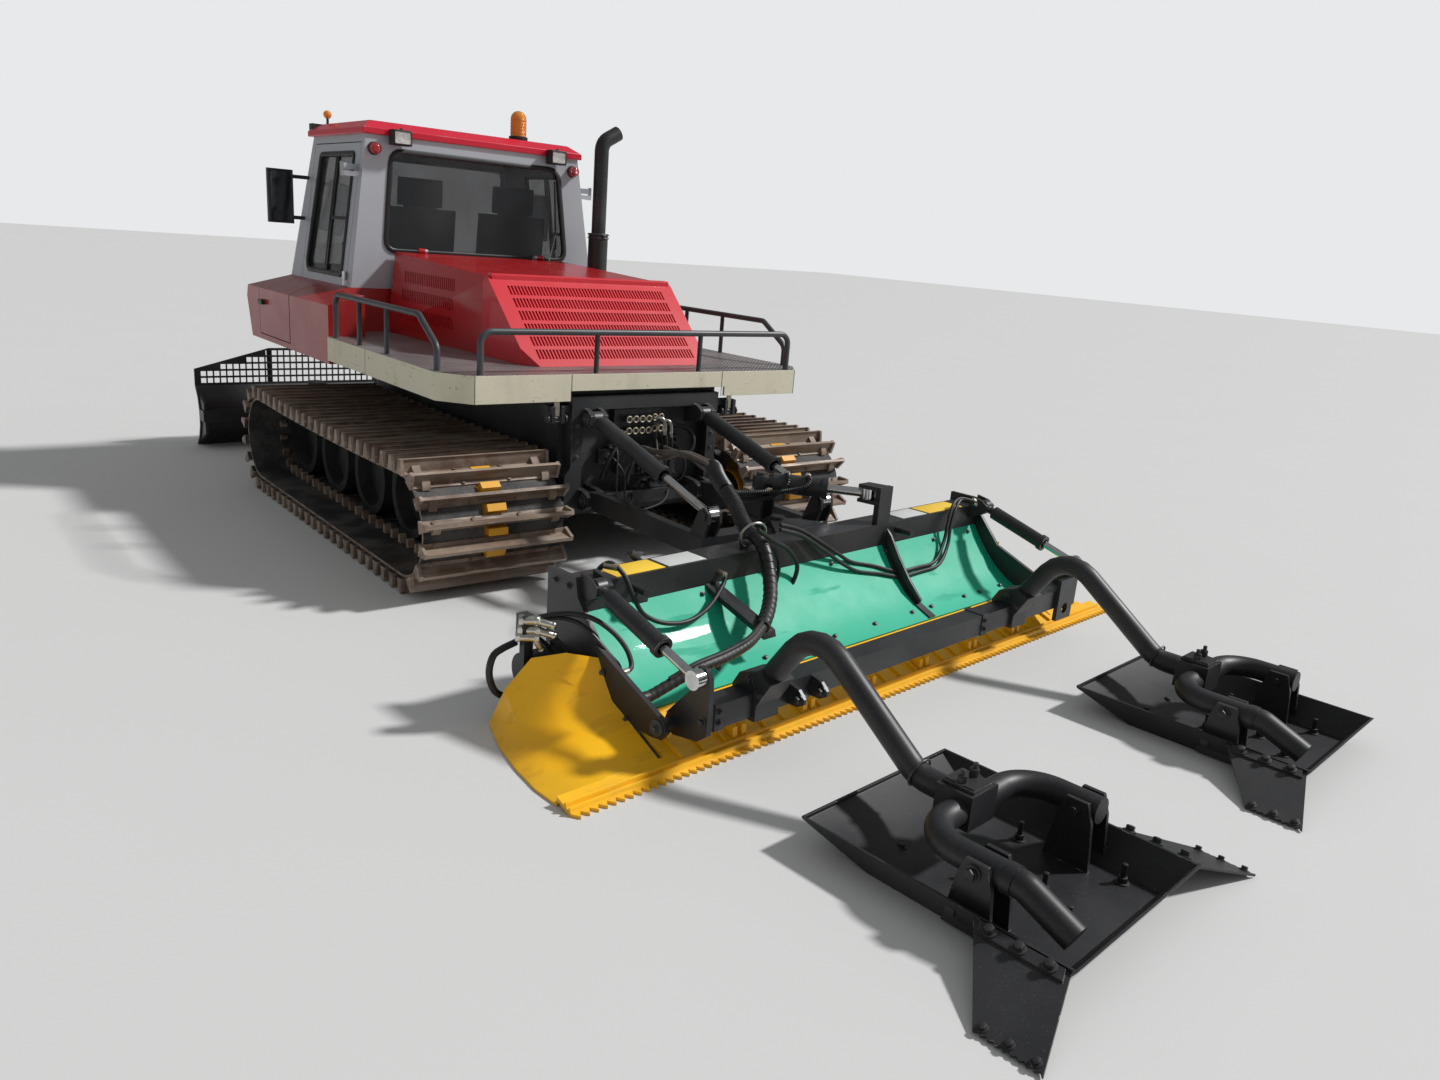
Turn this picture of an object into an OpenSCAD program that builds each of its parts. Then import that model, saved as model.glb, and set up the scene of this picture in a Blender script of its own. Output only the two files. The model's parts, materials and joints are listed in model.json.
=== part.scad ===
// Tracked snow groomer with a front blade, a rear tiller and two ski-track setting pans.
// X points to the right of the machine, Y to its front, Z up, in millimetres.

/* [Stance] */
// Turn of the rear tool about the vertical as parked, in degrees
swing = 5.2; // [0:0.1:8]
// Shift along Y that centres the whole outline
fore_shift = -147; // [-300:0.1:0]
// Shift along X that centres the whole outline with the tool turned
side_shift = -17.4; // [-40:0.1:0]

/* [Tracks] */
// Width of one track over its shoes
track_w = 780; // [600:10:900]
// Distance from the middle of the machine to the middle of a track
track_x = 967; // [900:1:1100]
// Height of the wheel centres above the ground
track_z = 330; // [300:1:360]
// Wheel centre at the rear end of the track
track_rear = 115; // [50:1:200]
// Wheel centre at the front end of the track
track_front = 2325; // [2200:1:2500]
// Radius of the belt's middle line at both ends
belt_r = 248; // [220:1:280]
// Number of shoes on one track
shoe_n = 58; // [50:1:64]
// Height of a shoe's bar above the belt
shoe_h = 75; // [50:1:90]

/* [Deck and hood] */
// Height of the top of the load deck
deck_z = 1047; // [1000:1:1100]
// Half width of the deck
deck_w = 1148; // [1000:1:1200]
// Half width of the hood at the top where it meets the cab
hood_w = 585; // [500:1:650]

/* [Cab] */
// Half width of the cab at the waist
waist_w = 860; // [800:1:900]
// Half width of the cab under the roof
eave_w = 735; // [650:1:800]
// Height of the waist
waist_z = 1300; // [1250:1:1350]
// Height of the eave
eave_z = 2200; // [2100:1:2300]
// Thickness of a cab wall and of a door
wall = 40; // [25:1:60]

/* [Blade] */
// Half width of the front blade
blade_w = 1350; // [1200:10:1500]

/* [Rear tool] */
// Distance behind the deck edge of the tool's own reference line
tool_y = -1650; // [-1700:1:-1600]
// Radius over the rotor's teeth
rotor_r = 146; // [120:1:160]
// Diameter of the bent tow tubes
tow_d = 84; // [60:1:100]

/* [Hidden] */
ry = track_rear;
fy = track_front;
run = fy - ry;
arc = PI * belt_r;
loop_len = 2 * run + 2 * arc;
pitch = loop_len / shoe_n;
phase = pitch / 2 + loop_len - arc / 2 - pitch * floor((loop_len - arc / 2) / pitch);
belt_t = 14;
// End wheels run just inside the flats of the belt
wheel_r = (belt_r - belt_t / 2) * cos(pitch / 4 / belt_r * 180 / PI) - 0.3;
sag = 16;
// Swing pin of the rear tool
swing_pin = [0, -1060, 0];
q0 = swing_pin - [0, tool_y, 0];
// The swing pin in the tool's own frame
pin_t = [q0[0] * cos(swing) + q0[1] * sin(swing), -q0[0] * sin(swing) + q0[1] * cos(swing), 0];
// Lift linkage: lower arm pin, cylinder base pin and rod eye, each as y and z
arm_pin = [-30, 400];
lift_base = [-12, 820];
lift_eye = [-990, 552];
lift_x = 350;
// Swing cylinder: base pin on the lift frame and eye on the tool
swing_base = [75, -835, 640];
swing_eye = [420, -1222, 640];
// Track setter: pin in the side plates, cylinder base and rod eye in the tool's frame
set_pin = [-181, 144];
set_base = [235, 512];
set_eye = [-300, 352];
set_x = 1267;
// Middle of each pan in the tool's frame and the height of its pivot bolts
pan_x = [-926, 762];
pan_y = -1270;
pan_pivot = [-1385, 190];
// Blade linkage
blade_pin = [2560, 400];
blade_king = [0, 3440];
blift_base = [2575, 760];
blift_eye = [3060, 520];
blift_x = 270;
bang_base = [-330, 2900, 455];
bang_eye = [-560, 3500, 455];
// Door hinge line, and the radius beyond which the door carries the flared skirt
hinge = [-868, 2092];
door_arc = 342;
// Half widths of the cab's flared skirt and of the deck's rear edge
flare_w = deck_w - 8;
rear_w = deck_w - 130;

// Placement

module v() translate([side_shift, fore_shift, 0]) children();

module t() v() translate([0, tool_y, 0]) rotate([0, 0, swing]) children();

module both() {
  children();
  mirror([1, 0, 0]) children();
}

module box(x0, x1, y0, y1, z0, z1) translate([x0, y0, z0]) cube([x1 - x0, y1 - y0, z1 - z0]);

// Outline in Y and Z, run along X
module along_x(x0, x1, pts) translate([x0, 0, 0]) rotate([90, 0, 90]) linear_extrude(x1 - x0) polygon(pts);

// Outline in X and Z, run along Y
module along_y(y0, y1, pts) translate([0, y1, 0]) rotate([90, 0, 0]) linear_extrude(y1 - y0) polygon(pts);

module rod_x(x0, x1, y, z, r) translate([x0, y, z]) rotate([0, 90, 0]) cylinder(h = x1 - x0, r = r, $fn = 48);

module rod_z(x, y, z0, z1, r) translate([x, y, z0]) cylinder(h = z1 - z0, r = r, $fn = 48);

function dist(a, b) = norm(b - a);

// Turns the children's +Z from one point towards another
module aim(a, b) translate(a) rotate([0, acos((b[2] - a[2]) / dist(a, b)), atan2(b[1] - a[1], b[0] - a[0])]) children();

module bar(a, b, r) aim(a, b) cylinder(h = dist(a, b), r = r, $fn = 32);

// Bent round tube in the XY plane through the points, with one bend radius
module bent(pts, bend, r) {
  n = len(pts);
  for (i = [0:n - 2]) {
    a = pts[i];
    b = pts[i + 1];
    d = (b - a) / norm(b - a);
    ta = i == 0 ? 0 : bend * tan(turn(pts, i) / 2);
    tb = i == n - 2 ? 0 : bend * tan(turn(pts, i + 1) / 2);
    p = a + d * ta;
    q = b - d * tb;
    translate([p[0], p[1], 0]) rotate([0, 90, atan2(d[1], d[0])]) cylinder(h = norm(q - p), r = r, $fn = 32);
  }
  for (i = [1:n - 2]) {
    a = pts[i] - pts[i - 1];
    b = pts[i + 1] - pts[i];
    th = turn(pts, i);
    left = a[0] * b[1] - a[1] * b[0] > 0;
    h0 = atan2(a[1], a[0]);
    d = a / norm(a);
    nrm = left ? [-d[1], d[0]] : [d[1], -d[0]];
    c = pts[i] - d * bend * tan(th / 2) + nrm * bend;
    start = left ? h0 - 90 : h0 + 90 - th;
    translate([c[0], c[1], 0]) rotate([0, 0, start]) rotate_extrude(angle = th, $fn = 48) translate([bend, 0]) circle(r = r, $fn = 32);
  }
}

function turn(pts, i) = let(a = pts[i] - pts[i - 1], b = pts[i + 1] - pts[i]) acos((a * b) / (norm(a) * norm(b)));

// Route with each corner rounded by an arc of n steps
function rounded(pts, bend, n) = [for (i = [0:len(pts) - 1]) each
  i == 0 || i == len(pts) - 1 ? [pts[i]]
  : let(th = turn(pts, i),
        a = (pts[i] - pts[i - 1]) / norm(pts[i] - pts[i - 1]),
        b = (pts[i + 1] - pts[i]) / norm(pts[i + 1] - pts[i]),
        m = (b - a) / norm(b - a),
        c = pts[i] + m * bend / cos(th / 2))
    [for (k = [0:n])
      let(d = a * sin(th * (1 - k / n)) + b * sin(th * k / n), u = d / norm(d), w = m - u * (m * u))
      c - w / norm(w) * bend]];

// Bent tube of any angles in the XY plane, as one skin with rings square to the route
module pipe(pts, bend, r, sides = 16) {
  route = rounded(pts, bend, 5);
  n = len(route);
  dir = [for (i = [0:n - 1]) let(d = route[min(i + 1, n - 1)] - route[max(i - 1, 0)]) d / norm(d)];
  skin = [for (i = [0:n - 1]) for (k = [0:sides - 1]) let(f = k * 360 / sides)
    [route[i][0] - dir[i][1] * r * cos(f), route[i][1] + dir[i][0] * r * cos(f), r * sin(f)]];
  polyhedron(points = skin, faces = concat(
    [[for (k = [0:sides - 1]) k]],
    [for (i = [0:n - 2]) for (k = [0:sides - 1])
      let(j = (k + 1) % sides) [i * sides + k, (i + 1) * sides + k, (i + 1) * sides + j, i * sides + j]],
    [[for (k = [sides - 1:-1:0]) (n - 1) * sides + k]]));
}

module pipe_yz(x, pts, bend, r) translate([x, 0, 0]) rotate([90, 0, 90]) pipe(pts, bend, r);

module pipe_xz(y, pts, bend, r) translate([0, y, 0]) rotate([90, 0, 0]) pipe(pts, bend, r);

// Bent tube in the XZ plane at one Y
module bent_xz(y, pts, bend, r) translate([0, y, 0]) rotate([90, 0, 0]) bent(pts, bend, r);

function unit(a) = a / norm(a);

// Smooth route through all the points, with n steps to a span
function smooth(p, n) = let(m = len(p)) concat([for (i = [0:m - 2]) each
  let(a = i == 0 ? 2 * p[0] - p[1] : p[i - 1], b = p[i], c = p[i + 1], d = i == m - 2 ? 2 * p[m - 1] - p[m - 2] : p[i + 2])
    [for (k = [0:n - 1]) let(f = k / n)
      0.5 * (2 * b + (c - a) * f + (2 * a - 5 * b + 4 * c - d) * f * f + (3 * b - a - 3 * c + d) * f * f * f)]], [p[m - 1]]);

// Hose along a smooth route; the side vector is one that the route never follows
module hose(p, r, side, n = 2, sides = 8) {
  route = smooth(p, n);
  m = len(route);
  w = len(p);
  dir = [for (i = [0:m - 1]) unit(i == 0 ? p[1] - p[0] : i == m - 1 ? p[w - 1] - p[w - 2] : route[i + 1] - route[i - 1])];
  skin = [for (i = [0:m - 1]) let(e = unit(cross(dir[i], side)), f = cross(dir[i], e))
    each [for (k = [0:sides - 1]) route[i] + e * r * cos(k * 360 / sides) + f * r * sin(k * 360 / sides)]];
  polyhedron(points = skin, faces = concat(
    [[for (k = [0:sides - 1]) k]],
    [for (i = [0:m - 2]) for (k = [0:sides - 1])
      let(j = (k + 1) % sides) [i * sides + k, (i + 1) * sides + k, (i + 1) * sides + j, i * sides + j]],
    [[for (k = [sides - 1:-1:0]) (m - 1) * sides + k]]));
}

// Track

// Point on the belt's middle line and its outward direction, by distance along the loop
function loop_at(s) =
  s < run ? [ry + s, track_z - belt_r, -90]
  : s < run + arc ? let(f = -90 + (s - run) / belt_r * 180 / PI) [fy + belt_r * cos(f), track_z + belt_r * sin(f), f]
  : s < 2 * run + arc ? let(u = (s - run - arc) / run) [fy - u * run, track_z + belt_r - sag * sin(180 * u), 90]
  : let(f = 90 + (s - 2 * run - arc) / belt_r * 180 / PI) [ry + belt_r * cos(f), track_z + belt_r * sin(f), f];

function off_at(q, n, w) = [q[0] + n * cos(q[2]) - w * sin(q[2]), q[1] + n * sin(q[2]) + w * cos(q[2])];

function wrap(s) = s - loop_len * floor(s / loop_len);

belt_s = [for (i = [0:shoe_n - 1]) each
  (let(s = wrap(phase + i * pitch)) (s > run - pitch && s < run + arc) || s > 2 * run + arc - pitch)
    ? [phase + i * pitch, phase + (i + 0.5) * pitch] : [phase + i * pitch]];

// Cross-section of a shoe: distance along the belt and height above it
shoe_pts = [[-26, -1], [26, -1], [26, 6], [7, 11], [4, shoe_h - 8], [11, shoe_h], [-5, shoe_h], [-7, 11], [-26, 6]];
// End cap, clamp bracket and guide lug, in the same way
cap_pts = [[-30, 2], [30, 2], [14, shoe_h - 1], [-12, shoe_h - 1]];
clamp_pts = [[0, 3], [42, 3], [34, 20], [0, 46]];
guide_pts = [[-20, 1], [20, 1], [10, -46], [-10, -46]];

module belt(x0, x1) {
  outer = [for (s = belt_s) off_at(loop_at(wrap(s)), belt_t / 2, 0)];
  inner = [for (s = belt_s) off_at(loop_at(wrap(s)), -belt_t / 2, 0)];
  n = len(belt_s);
  translate([x0, 0, 0]) rotate([90, 0, 90]) linear_extrude(x1 - x0)
    polygon(concat(outer, inner), paths = [[for (i = [0:n - 1]) i], [for (i = [0:n - 1]) n + i]]);
}

// Piece of one shoe between two distances from the track's middle
module on_belt(q, x0, x1, base, pts) along_x(track_x + x0, track_x + x1, [for (p = pts) off_at(q, base + p[1], p[0])]);

module track() {
  half = track_w / 2;
  belt(track_x - 367, track_x - 62);
  belt(track_x + 62, track_x + 367);
  for (i = [0:shoe_n - 1]) {
    q = loop_at(wrap(phase + i * pitch));
    on_belt(q, -half + 2, half - 2, belt_t / 2, shoe_pts);
    for (x = [-half, half - 16]) on_belt(q, x, x + 16, belt_t / 2, cap_pts);
    for (x = [-half + 58, half - 98]) on_belt(q, x, x + 40, belt_t / 2, clamp_pts);
    for (x = [-176, 141]) on_belt(q, x, x + 35, -belt_t / 2, guide_pts);
  }
}

module track_right() v() color([0.42, 0.36, 0.30]) track();

module track_left() v() color([0.42, 0.36, 0.30]) mirror([1, 0, 0]) track();

// A road wheel: outline of radius and offset from its middle
module road_wheel(y, z, r) {
  translate([track_x, y, z]) rotate([0, 90, 0]) rotate_extrude($fn = 48)
    polygon([[0, -40], [60, -40], [70, -20], [r - 60, -20], [r - 50, -95], [r, -95], [r, 95], [r - 50, 95], [r - 60, 20], [70, 20], [60, 40], [0, 40]]);
}

wheel_y = [667, 1219, 1771];

module wheels() {
  for (y = wheel_y) {
    road_wheel(y, 314.3, 225);
    rod_x(540, track_x - 40, y, 314.3, 32);
    hull() {
      rod_x(520, 560, y, 314.3, 55);
      rod_x(520, 560, y + 170, 420, 60);
    }
    rod_x(505, 520, y + 170, 420, 60);
  }
  road_wheel(fy, track_z, wheel_r);
  rod_x(505, track_x - 40, fy, track_z, 40);
}

module wheels_right() v() color([0.10, 0.10, 0.11]) wheels();

module wheels_left() v() color([0.10, 0.10, 0.11]) mirror([1, 0, 0]) wheels();

module sprocket() {
  translate([track_x, ry, track_z]) rotate([0, 90, 0]) {
    rotate_extrude($fn = 60)
      polygon([[0, -300], [120, -300], [120, -135], [222, -135], [wheel_r, -120], [wheel_r, 120], [222, 135], [150, 135], [120, 60], [0, 60]]);
    for (k = [0:14]) rotate([0, 0, 270 + k * 24]) translate([258, 0, 0]) cube([50, 37, 100], center = true);
  }
}

module sprocket_right() v() color([0.90, 0.62, 0.10]) sprocket();

module sprocket_left() v() color([0.90, 0.62, 0.10]) mirror([1, 0, 0]) sprocket();

// Hull and frame

module hull_frame() v() color([0.12, 0.12, 0.13]) {
  difference() {
    along_x(-505, 505, [[100, 330], [190, 260], [2420, 260], [2500, 400], [2500, 869.7], [1904.7, 869.7], [1904.7, deck_z - 12], [100, deck_z - 12]]);
    box(-455, 455, 150, 1855, 310, 1100);
    box(-455, 455, 1905, 2440, 310, 900);
  }
  both() {
    rod_x(505, track_x - 300, ry, track_z, 110);
    // Outriggers under the deck
    for (y = [300, 880, 1460]) box(505, deck_w - 38, y, y + 60, deck_z - 72, deck_z - 12);
  }
}

module rear_portal() v() color([0.16, 0.17, 0.18]) {
  both() {
    box(405, 472, 20, 100, 340, 930);
    along_y(20, 100, [[472, 340], [504.7, 380], [504.7, 520], [472, 560]]);
    // Lift cylinder base ears
    along_x(300, 324.5, [[100, 760], [100, 880], [-12, 865], [-50, 840], [-50, 795], [-12, 775]]);
    along_x(375.5, 405, [[100, 760], [100, 880], [-12, 865], [-50, 840], [-50, 795], [-12, 775]]);
    rod_x(300, 405, lift_base[0], lift_base[1], 20);
    // Lower arm ears
    along_x(300, 334.5, [[100, 345], [100, 455], [-20, 445], [-72, 425], [-72, 370], [-30, 345]]);
    along_x(385.5, 420, [[100, 345], [100, 455], [-20, 445], [-72, 425], [-72, 370], [-30, 345]]);
    rod_x(300, 420, arm_pin[0], arm_pin[1], 22);
    // Hitch lugs beside the posts
    box(472, 600, 40, 90, 850, 885);
    box(520, 540, 10, 90, 800, 885);
    box(575, 595, 10, 90, 800, 885);
    rod_x(510, 605, 30, 822, 14);
  }
  box(-405, 405, 20, 100, 860, 930);
  box(-405, 405, 20, 100, 340, 410);
}

module coupler_bank() v() color([0.35, 0.35, 0.36]) {
  box(-190, 110, 60, 100, 690, 850);
  for (i = [0:3]) for (j = [0:1])
    translate([-120 + i * 42, 60, 800 - j * 62]) rotate([90, 0, 0]) cylinder(h = 40, r = 16, $fn = 24);
  box(-200, 250, 90, 100, 480, 690);
  translate([-160, 40, 500]) cube([150, 50, 150]);
}

module deck() v() color([0.80, 0.79, 0.68]) {
  difference() {
    translate([0, 0, deck_z - 12]) linear_extrude(12)
      polygon([[-rear_w, 0], [rear_w, 0], [deck_w, 160], [deck_w, 1604.7], [924.7, 1604.7], [924.7, 1904.7], [-924.7, 1904.7], [-924.7, 1604.7], [-deck_w, 1604.7], [-deck_w, 160]]);
    box(-470, 470, 420, 2000, 900, 1100);
  }
  difference() {
    translate([0, 0, 911]) linear_extrude(deck_z - 12 - 911)
      polygon([[-rear_w, 0], [rear_w, 0], [deck_w, 160], [deck_w, 1604.7], [-deck_w, 1604.7], [-deck_w, 160]]);
    translate([0, 0, 900]) linear_extrude(300)
      polygon([[-rear_w + 6, 15], [rear_w - 6, 15], [deck_w - 15, 166], [deck_w - 15, 1700], [-deck_w + 15, 1700], [-deck_w + 15, 166]]);
    box(-495, 495, -20, 30, 900, 962);
  }
}

module deck_rails() v() color([0.30, 0.31, 0.33]) {
  both() {
    pipe_yz(deck_w - 36, [[1560, deck_z], [1560, 1290], [420, 1290], [210, 1160], [210, deck_z]], 60, 16);
    for (y = [820, 1200]) rod_z(deck_w - 36, y, deck_z, 1290, 13);
  }
  bent_xz(36, [[-975, deck_z], [-975, 1250], [975, 1250], [975, deck_z]], 60, 16);
  for (x = [-330, 330]) rod_z(x, 36, deck_z, 1250, 13);
}

// Cab

function flip(pts) = [for (i = [len(pts) - 1:-1:0]) [-pts[i][0], pts[i][1]]];

module cab_form(t) {
  s = [[2052 + t, eave_z + 1], [1998 + t, waist_z], [1905 + t, 1050], [1905 + t, 870 + t], [3080 - t, 870 + t], [3180 - t, 1150], [3120 - t, waist_z], [2960 - t, eave_z + 1]];
  h = [[eave_w - t, eave_z + 1], [waist_w - t, waist_z], [waist_w - t + 2, waist_z], [flare_w - t, 1222 - t], [flare_w - t, 890 + t], [600, 870 + t]];
  intersection() {
    along_x(-flare_w - 60, flare_w + 60, s);
    along_y(1800, 3300, concat(h, flip(h)));
  }
}

module cab_shell() {
  difference() {
    cab_form(0);
    cab_form(wall);
  }
}

// Space of the left door and its gap
module door_zone(g) {
  difference() {
    box(-flare_w - 60, -600, 2104 - g, 2900 + g, 930 - g, 2150 + g);
    translate([hinge[0], hinge[1], 800]) cylinder(h = 504, r = door_arc - g, $fn = 96);
  }
}

module door_window(g) {
  translate([-1200, 0, 0]) rotate([90, 0, 90]) linear_extrude(600)
    polygon([[2180 - g, 1360 - g], [2800 + g, 1360 - g], [2830 + g, 1420], [2780 + g, 2090 + g], [2190 - g, 2090 + g]]);
}

module cab_lower() v() color([0.72, 0.12, 0.10]) {
  difference() {
    cab_shell();
    box(-1300, 1300, 1700, 3400, waist_z, 2400);
    both() door_zone(6);
  }
  both() difference() {
    along_y(1605, 1990, [[925, 890], [flare_w, 890], [flare_w, 1222], [925, 1281]]);
    along_y(1645, 2100, [[965, 930], [flare_w - 40, 930], [flare_w - 40, 1192], [965, 1229]]);
    cab_form(wall);
  }
}

module cab_upper() v() color([0.55, 0.56, 0.57]) {
  // Fixed halves of the hood's hinges
  both() {
    rod_x(380, 399.7, hood_pin[0], hood_pin[1], 12);
    along_x(380, 399.7, [[1975, 1552], [1990, 1549], [2016, 1532], [2016, 1490], [1994, 1490], [1994, 1530], [1975, 1531]]);
    rod_x(380, 440, hood_pin[0], hood_pin[1], 6);
  }
  // Fixed halves of the door hinges
  both() for (z = [1340, 1980]) {
    wx = -waist_w + (z - 20 - waist_z) * (waist_w - eave_w) / (eave_z - waist_z);
    rod_z(hinge[0], hinge[1], z - 32, z - 0.5, 12);
    rod_z(hinge[0], hinge[1], z - 32, z + 50, 6);
    translate([0, 0, z - 30]) linear_extrude(28)
      polygon([[hinge[0] - 11, hinge[1]], [hinge[0], hinge[1] + 11], [wx - 4, 2094], [wx + 16, 2090], [wx + 16, 2050], [hinge[0] + 4, 2060]]);
  }
  difference() {
    cab_shell();
    box(-1300, 1300, 1700, 3400, 800, waist_z);
    both() door_zone(6);
    // Rear window
    along_y(1900, 2300, [[-640, 1560], [-600, 1530], [600, 1530], [640, 1560], [590, 2085], [555, 2120], [-555, 2120], [-590, 2085]]);
    // Windscreen
    along_y(2850, 3300, [[-740, 1370], [740, 1370], [650, 2120], [-650, 2120]]);
  }
}

module cab_roof() v() color([0.72, 0.12, 0.10]) {
  difference() {
    intersection() {
      along_x(-900, 900, [[2035, 2201], [2035, 2240], [2110, 2285], [2900, 2285], [3010, 2240], [3010, 2201]]);
      along_y(1900, 3200, [[-760, 2201], [-760, 2235], [-680, 2290], [680, 2290], [760, 2235], [760, 2201]]);
    }
    intersection() {
      along_x(-900, 900, [[2095, 2200], [2095, 2225], [2140, 2255], [2860, 2255], [2920, 2225], [2920, 2200]]);
      along_y(1900, 3200, [[-690, 2200], [-690, 2225], [-640, 2260], [640, 2260], [690, 2225], [690, 2200]]);
    }
  }
}

module cab_glass() v() color([0.55, 0.65, 0.68, 0.4]) {
  intersection() {
    difference() {
      cab_form(14);
      cab_form(20);
    }
    union() {
      along_y(1900, 2300, [[-639.7, 1560.3], [-599.7, 1530.3], [599.7, 1530.3], [639.7, 1560.3], [589.7, 2084.7], [554.7, 2119.7], [-554.7, 2119.7], [-589.7, 2084.7]]);
      along_y(2850, 3300, [[-739.7, 1370.3], [739.7, 1370.3], [649.7, 2119.7], [-649.7, 2119.7]]);
    }
  }
}

module door_body() {
  difference() {
    intersection() {
      cab_shell();
      door_zone(0);
    }
    door_window(0);
  }
  // Hinge arms and knuckles
  for (z = [1340, 1980]) {
    wx = -waist_w + (z - waist_z) * (waist_w - eave_w) / (eave_z - waist_z);
    difference() {
      union() {
        rod_z(hinge[0], hinge[1], z, z + 50, 12);
        translate([0, 0, z + 8]) linear_extrude(34)
          polygon([[hinge[0] - 11, hinge[1]], [hinge[0], hinge[1] - 11], [wx - 12, 2106], [wx + 16, 2108], [wx + 16, 2150], [hinge[0] + 4, 2130]]);
      }
      rod_z(hinge[0], hinge[1], z - 1, z + 51, 6.3);
    }
  }
  box(-flare_w - 25, -flare_w, 2780, 2860, 1120, 1150);
}

module door_glass() {
  intersection() {
    difference() {
      cab_form(14);
      cab_form(20);
    }
    door_window(-0.3);
  }
}

module door_left() v() color([0.66, 0.14, 0.12]) door_body();

module door_right() v() color([0.66, 0.14, 0.12]) mirror([1, 0, 0]) door_body();

module glass_left() v() color([0.30, 0.34, 0.36, 0.4]) door_glass();

module glass_right() v() color([0.30, 0.34, 0.36, 0.4]) mirror([1, 0, 0]) door_glass();

module seats() v() color([0.10, 0.10, 0.11]) {
  for (x = [-330, 330]) translate([x, 0, 0]) {
    box(-170, 170, 2330, 2600, 910, 1120);
    box(-240, 240, 2280, 2700, 1120, 1220);
    along_x(-230, 230, [[2230, 1220], [2330, 1220], [2250, 1800], [2160, 1800]]);
    along_x(-140, 140, [[2170, 1810], [2240, 1810], [2225, 1980], [2165, 1980]]);
    box(-100, 100, 2170, 2230, 1800, 1812);
  }
}

module console() v() color([0.14, 0.14, 0.15]) {
  box(-60, 60, 2500, 2900, 910, 1300);
  box(-700, 700, 2930, 3030, 1150, 1300);
  box(-600, -500, 2930, 3030, 910, 1150);
  box(500, 600, 2930, 3030, 910, 1150);
  rod_z(0, 2600, 1300, 1420, 14);
  translate([0, 2600, 1440]) sphere(r = 28, $fn = 24);
}

module engine_block() v() color([0.25, 0.25, 0.26]) {
  box(-330, 330, 900, 1760, 420, 1360);
  for (y = [1000, 1600]) both() box(330, 455, y, y + 60, 640, 700);
  // Radiator on its lugs
  box(-430, 430, 790, 850, 960, 1390);
  both() box(430, 455, 790, 850, 960, 1030);
}

module exhaust_stack() v() color([0.12, 0.12, 0.12]) {
  rod_z(765, 1795, deck_z, 1730, 66);
  pipe_xz(1795, [[765, 1700], [765, 2312], [888, 2383]], 90, 48);
}

module work_lamps() v() color([0.12, 0.12, 0.13]) {
  both() {
    box(480, 600, 1965, 2034.7, 2150, 2240);
    difference() {
      box(520, 560, 2034.7, 2080, 2160, 2200);
      cab_form(0);
    }
    box(430, 560, 3010, 3070, 2205, 2290);
    box(600, 730, 3010, 3070, 2205, 2290);
  }
}

module signal_lamps() v() color([0.80, 0.15, 0.08]) {
  both() difference() {
    translate([690, 2080, 2120]) rotate([90, 0, 0]) cylinder(h = 80, r = 32, $fn = 32);
    cab_form(0);
  }
  rod_z(360, 2200, 2285, 2310, 62);
  rod_z(360, 2200, 2310, 2420, 52);
  translate([360, 2200, 2420]) sphere(r = 52, $fn = 32);
  rod_z(-668, 2890, 2285, 2330, 8);
  translate([-668, 2890, 2345]) sphere(r = 26, $fn = 24);
}

module mirrors() v() color([0.10, 0.10, 0.11]) {
  both() difference() {
    union() {
      box(880, 1040, 2960, 2995, 1640, 1980);
      bar([740, 2978, 1940], [900, 2978, 1940], 12);
      bar([780, 2978, 1680], [900, 2978, 1680], 12);
    }
    cab_form(0);
  }
}

module front_mount() v() color([0.13, 0.13, 0.14]) {
  box(-480, 480, 2500, 2530, 300, 850);
  both() {
    along_x(330, 364.5, [[2530, 330], [2530, 470], [2580, 455], [2605, 425], [2605, 375], [2580, 345]]);
    along_x(425.5, 460, [[2530, 330], [2530, 470], [2580, 455], [2605, 425], [2605, 375], [2580, 345]]);
    rod_x(330, 460, blade_pin[0], blade_pin[1], 22);
    along_x(230, 248.5, [[2530, 690], [2530, 830], [2580, 798], [2612, 778], [2612, 742], [2580, 722]]);
    along_x(291.5, 310, [[2530, 690], [2530, 830], [2580, 798], [2612, 778], [2612, 742], [2580, 722]]);
    rod_x(230, 310, blift_base[0], blift_base[1], 16);
  }
}

// Hood, with its hinge line as y and z
hood_pin = [1975, 1540];

module hood_form(t) {
  intersection() {
    along_x(-900, 900, [[268 + t * 1.4, deck_z + 0.4], [1900 + t * 4, deck_z + 0.4], [1985 + t * 4, 1526 - t], [720 + t * 0.6, 1468 - t]]);
    along_y(200, 2200, [[-676 + t, deck_z], [676 - t, deck_z], [hood_w - t, 1530], [-hood_w + t, 1530]]);
    translate([0, 0, 1040]) linear_extrude(500)
      polygon([[-520 + t, 268], [520 - t, 268], [590 - t, 360], [600 - t, 700], [690 - t, 2190], [-690 + t, 2190], [-600 + t, 700], [-590 + t, 360]]);
  }
}

module hood() v() color([0.78, 0.12, 0.10]) {
  difference() {
    union() {
      difference() {
        hood_form(0);
        hood_form(25);
        along_x(-900, 900, [[200, 1000], [760, 1000], [760, 1600], [200, 1600]]);
        // Slanted louvre slots in three rows
        for (k = [0:2]) for (i = [0:27]) both()
          along_x(500, 720, [for (p = [[0, 0], [12, 0], [34, 66], [22, 66]]) [1080 + i * 25 + p[0], 1146 + k * 106 + p[1]]]);
      }
      both() rod_x(400, 440, hood_pin[0], hood_pin[1], 16);
    }
    both() rod_x(395, 445, hood_pin[0], hood_pin[1], 6.3);
  }
}

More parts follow.
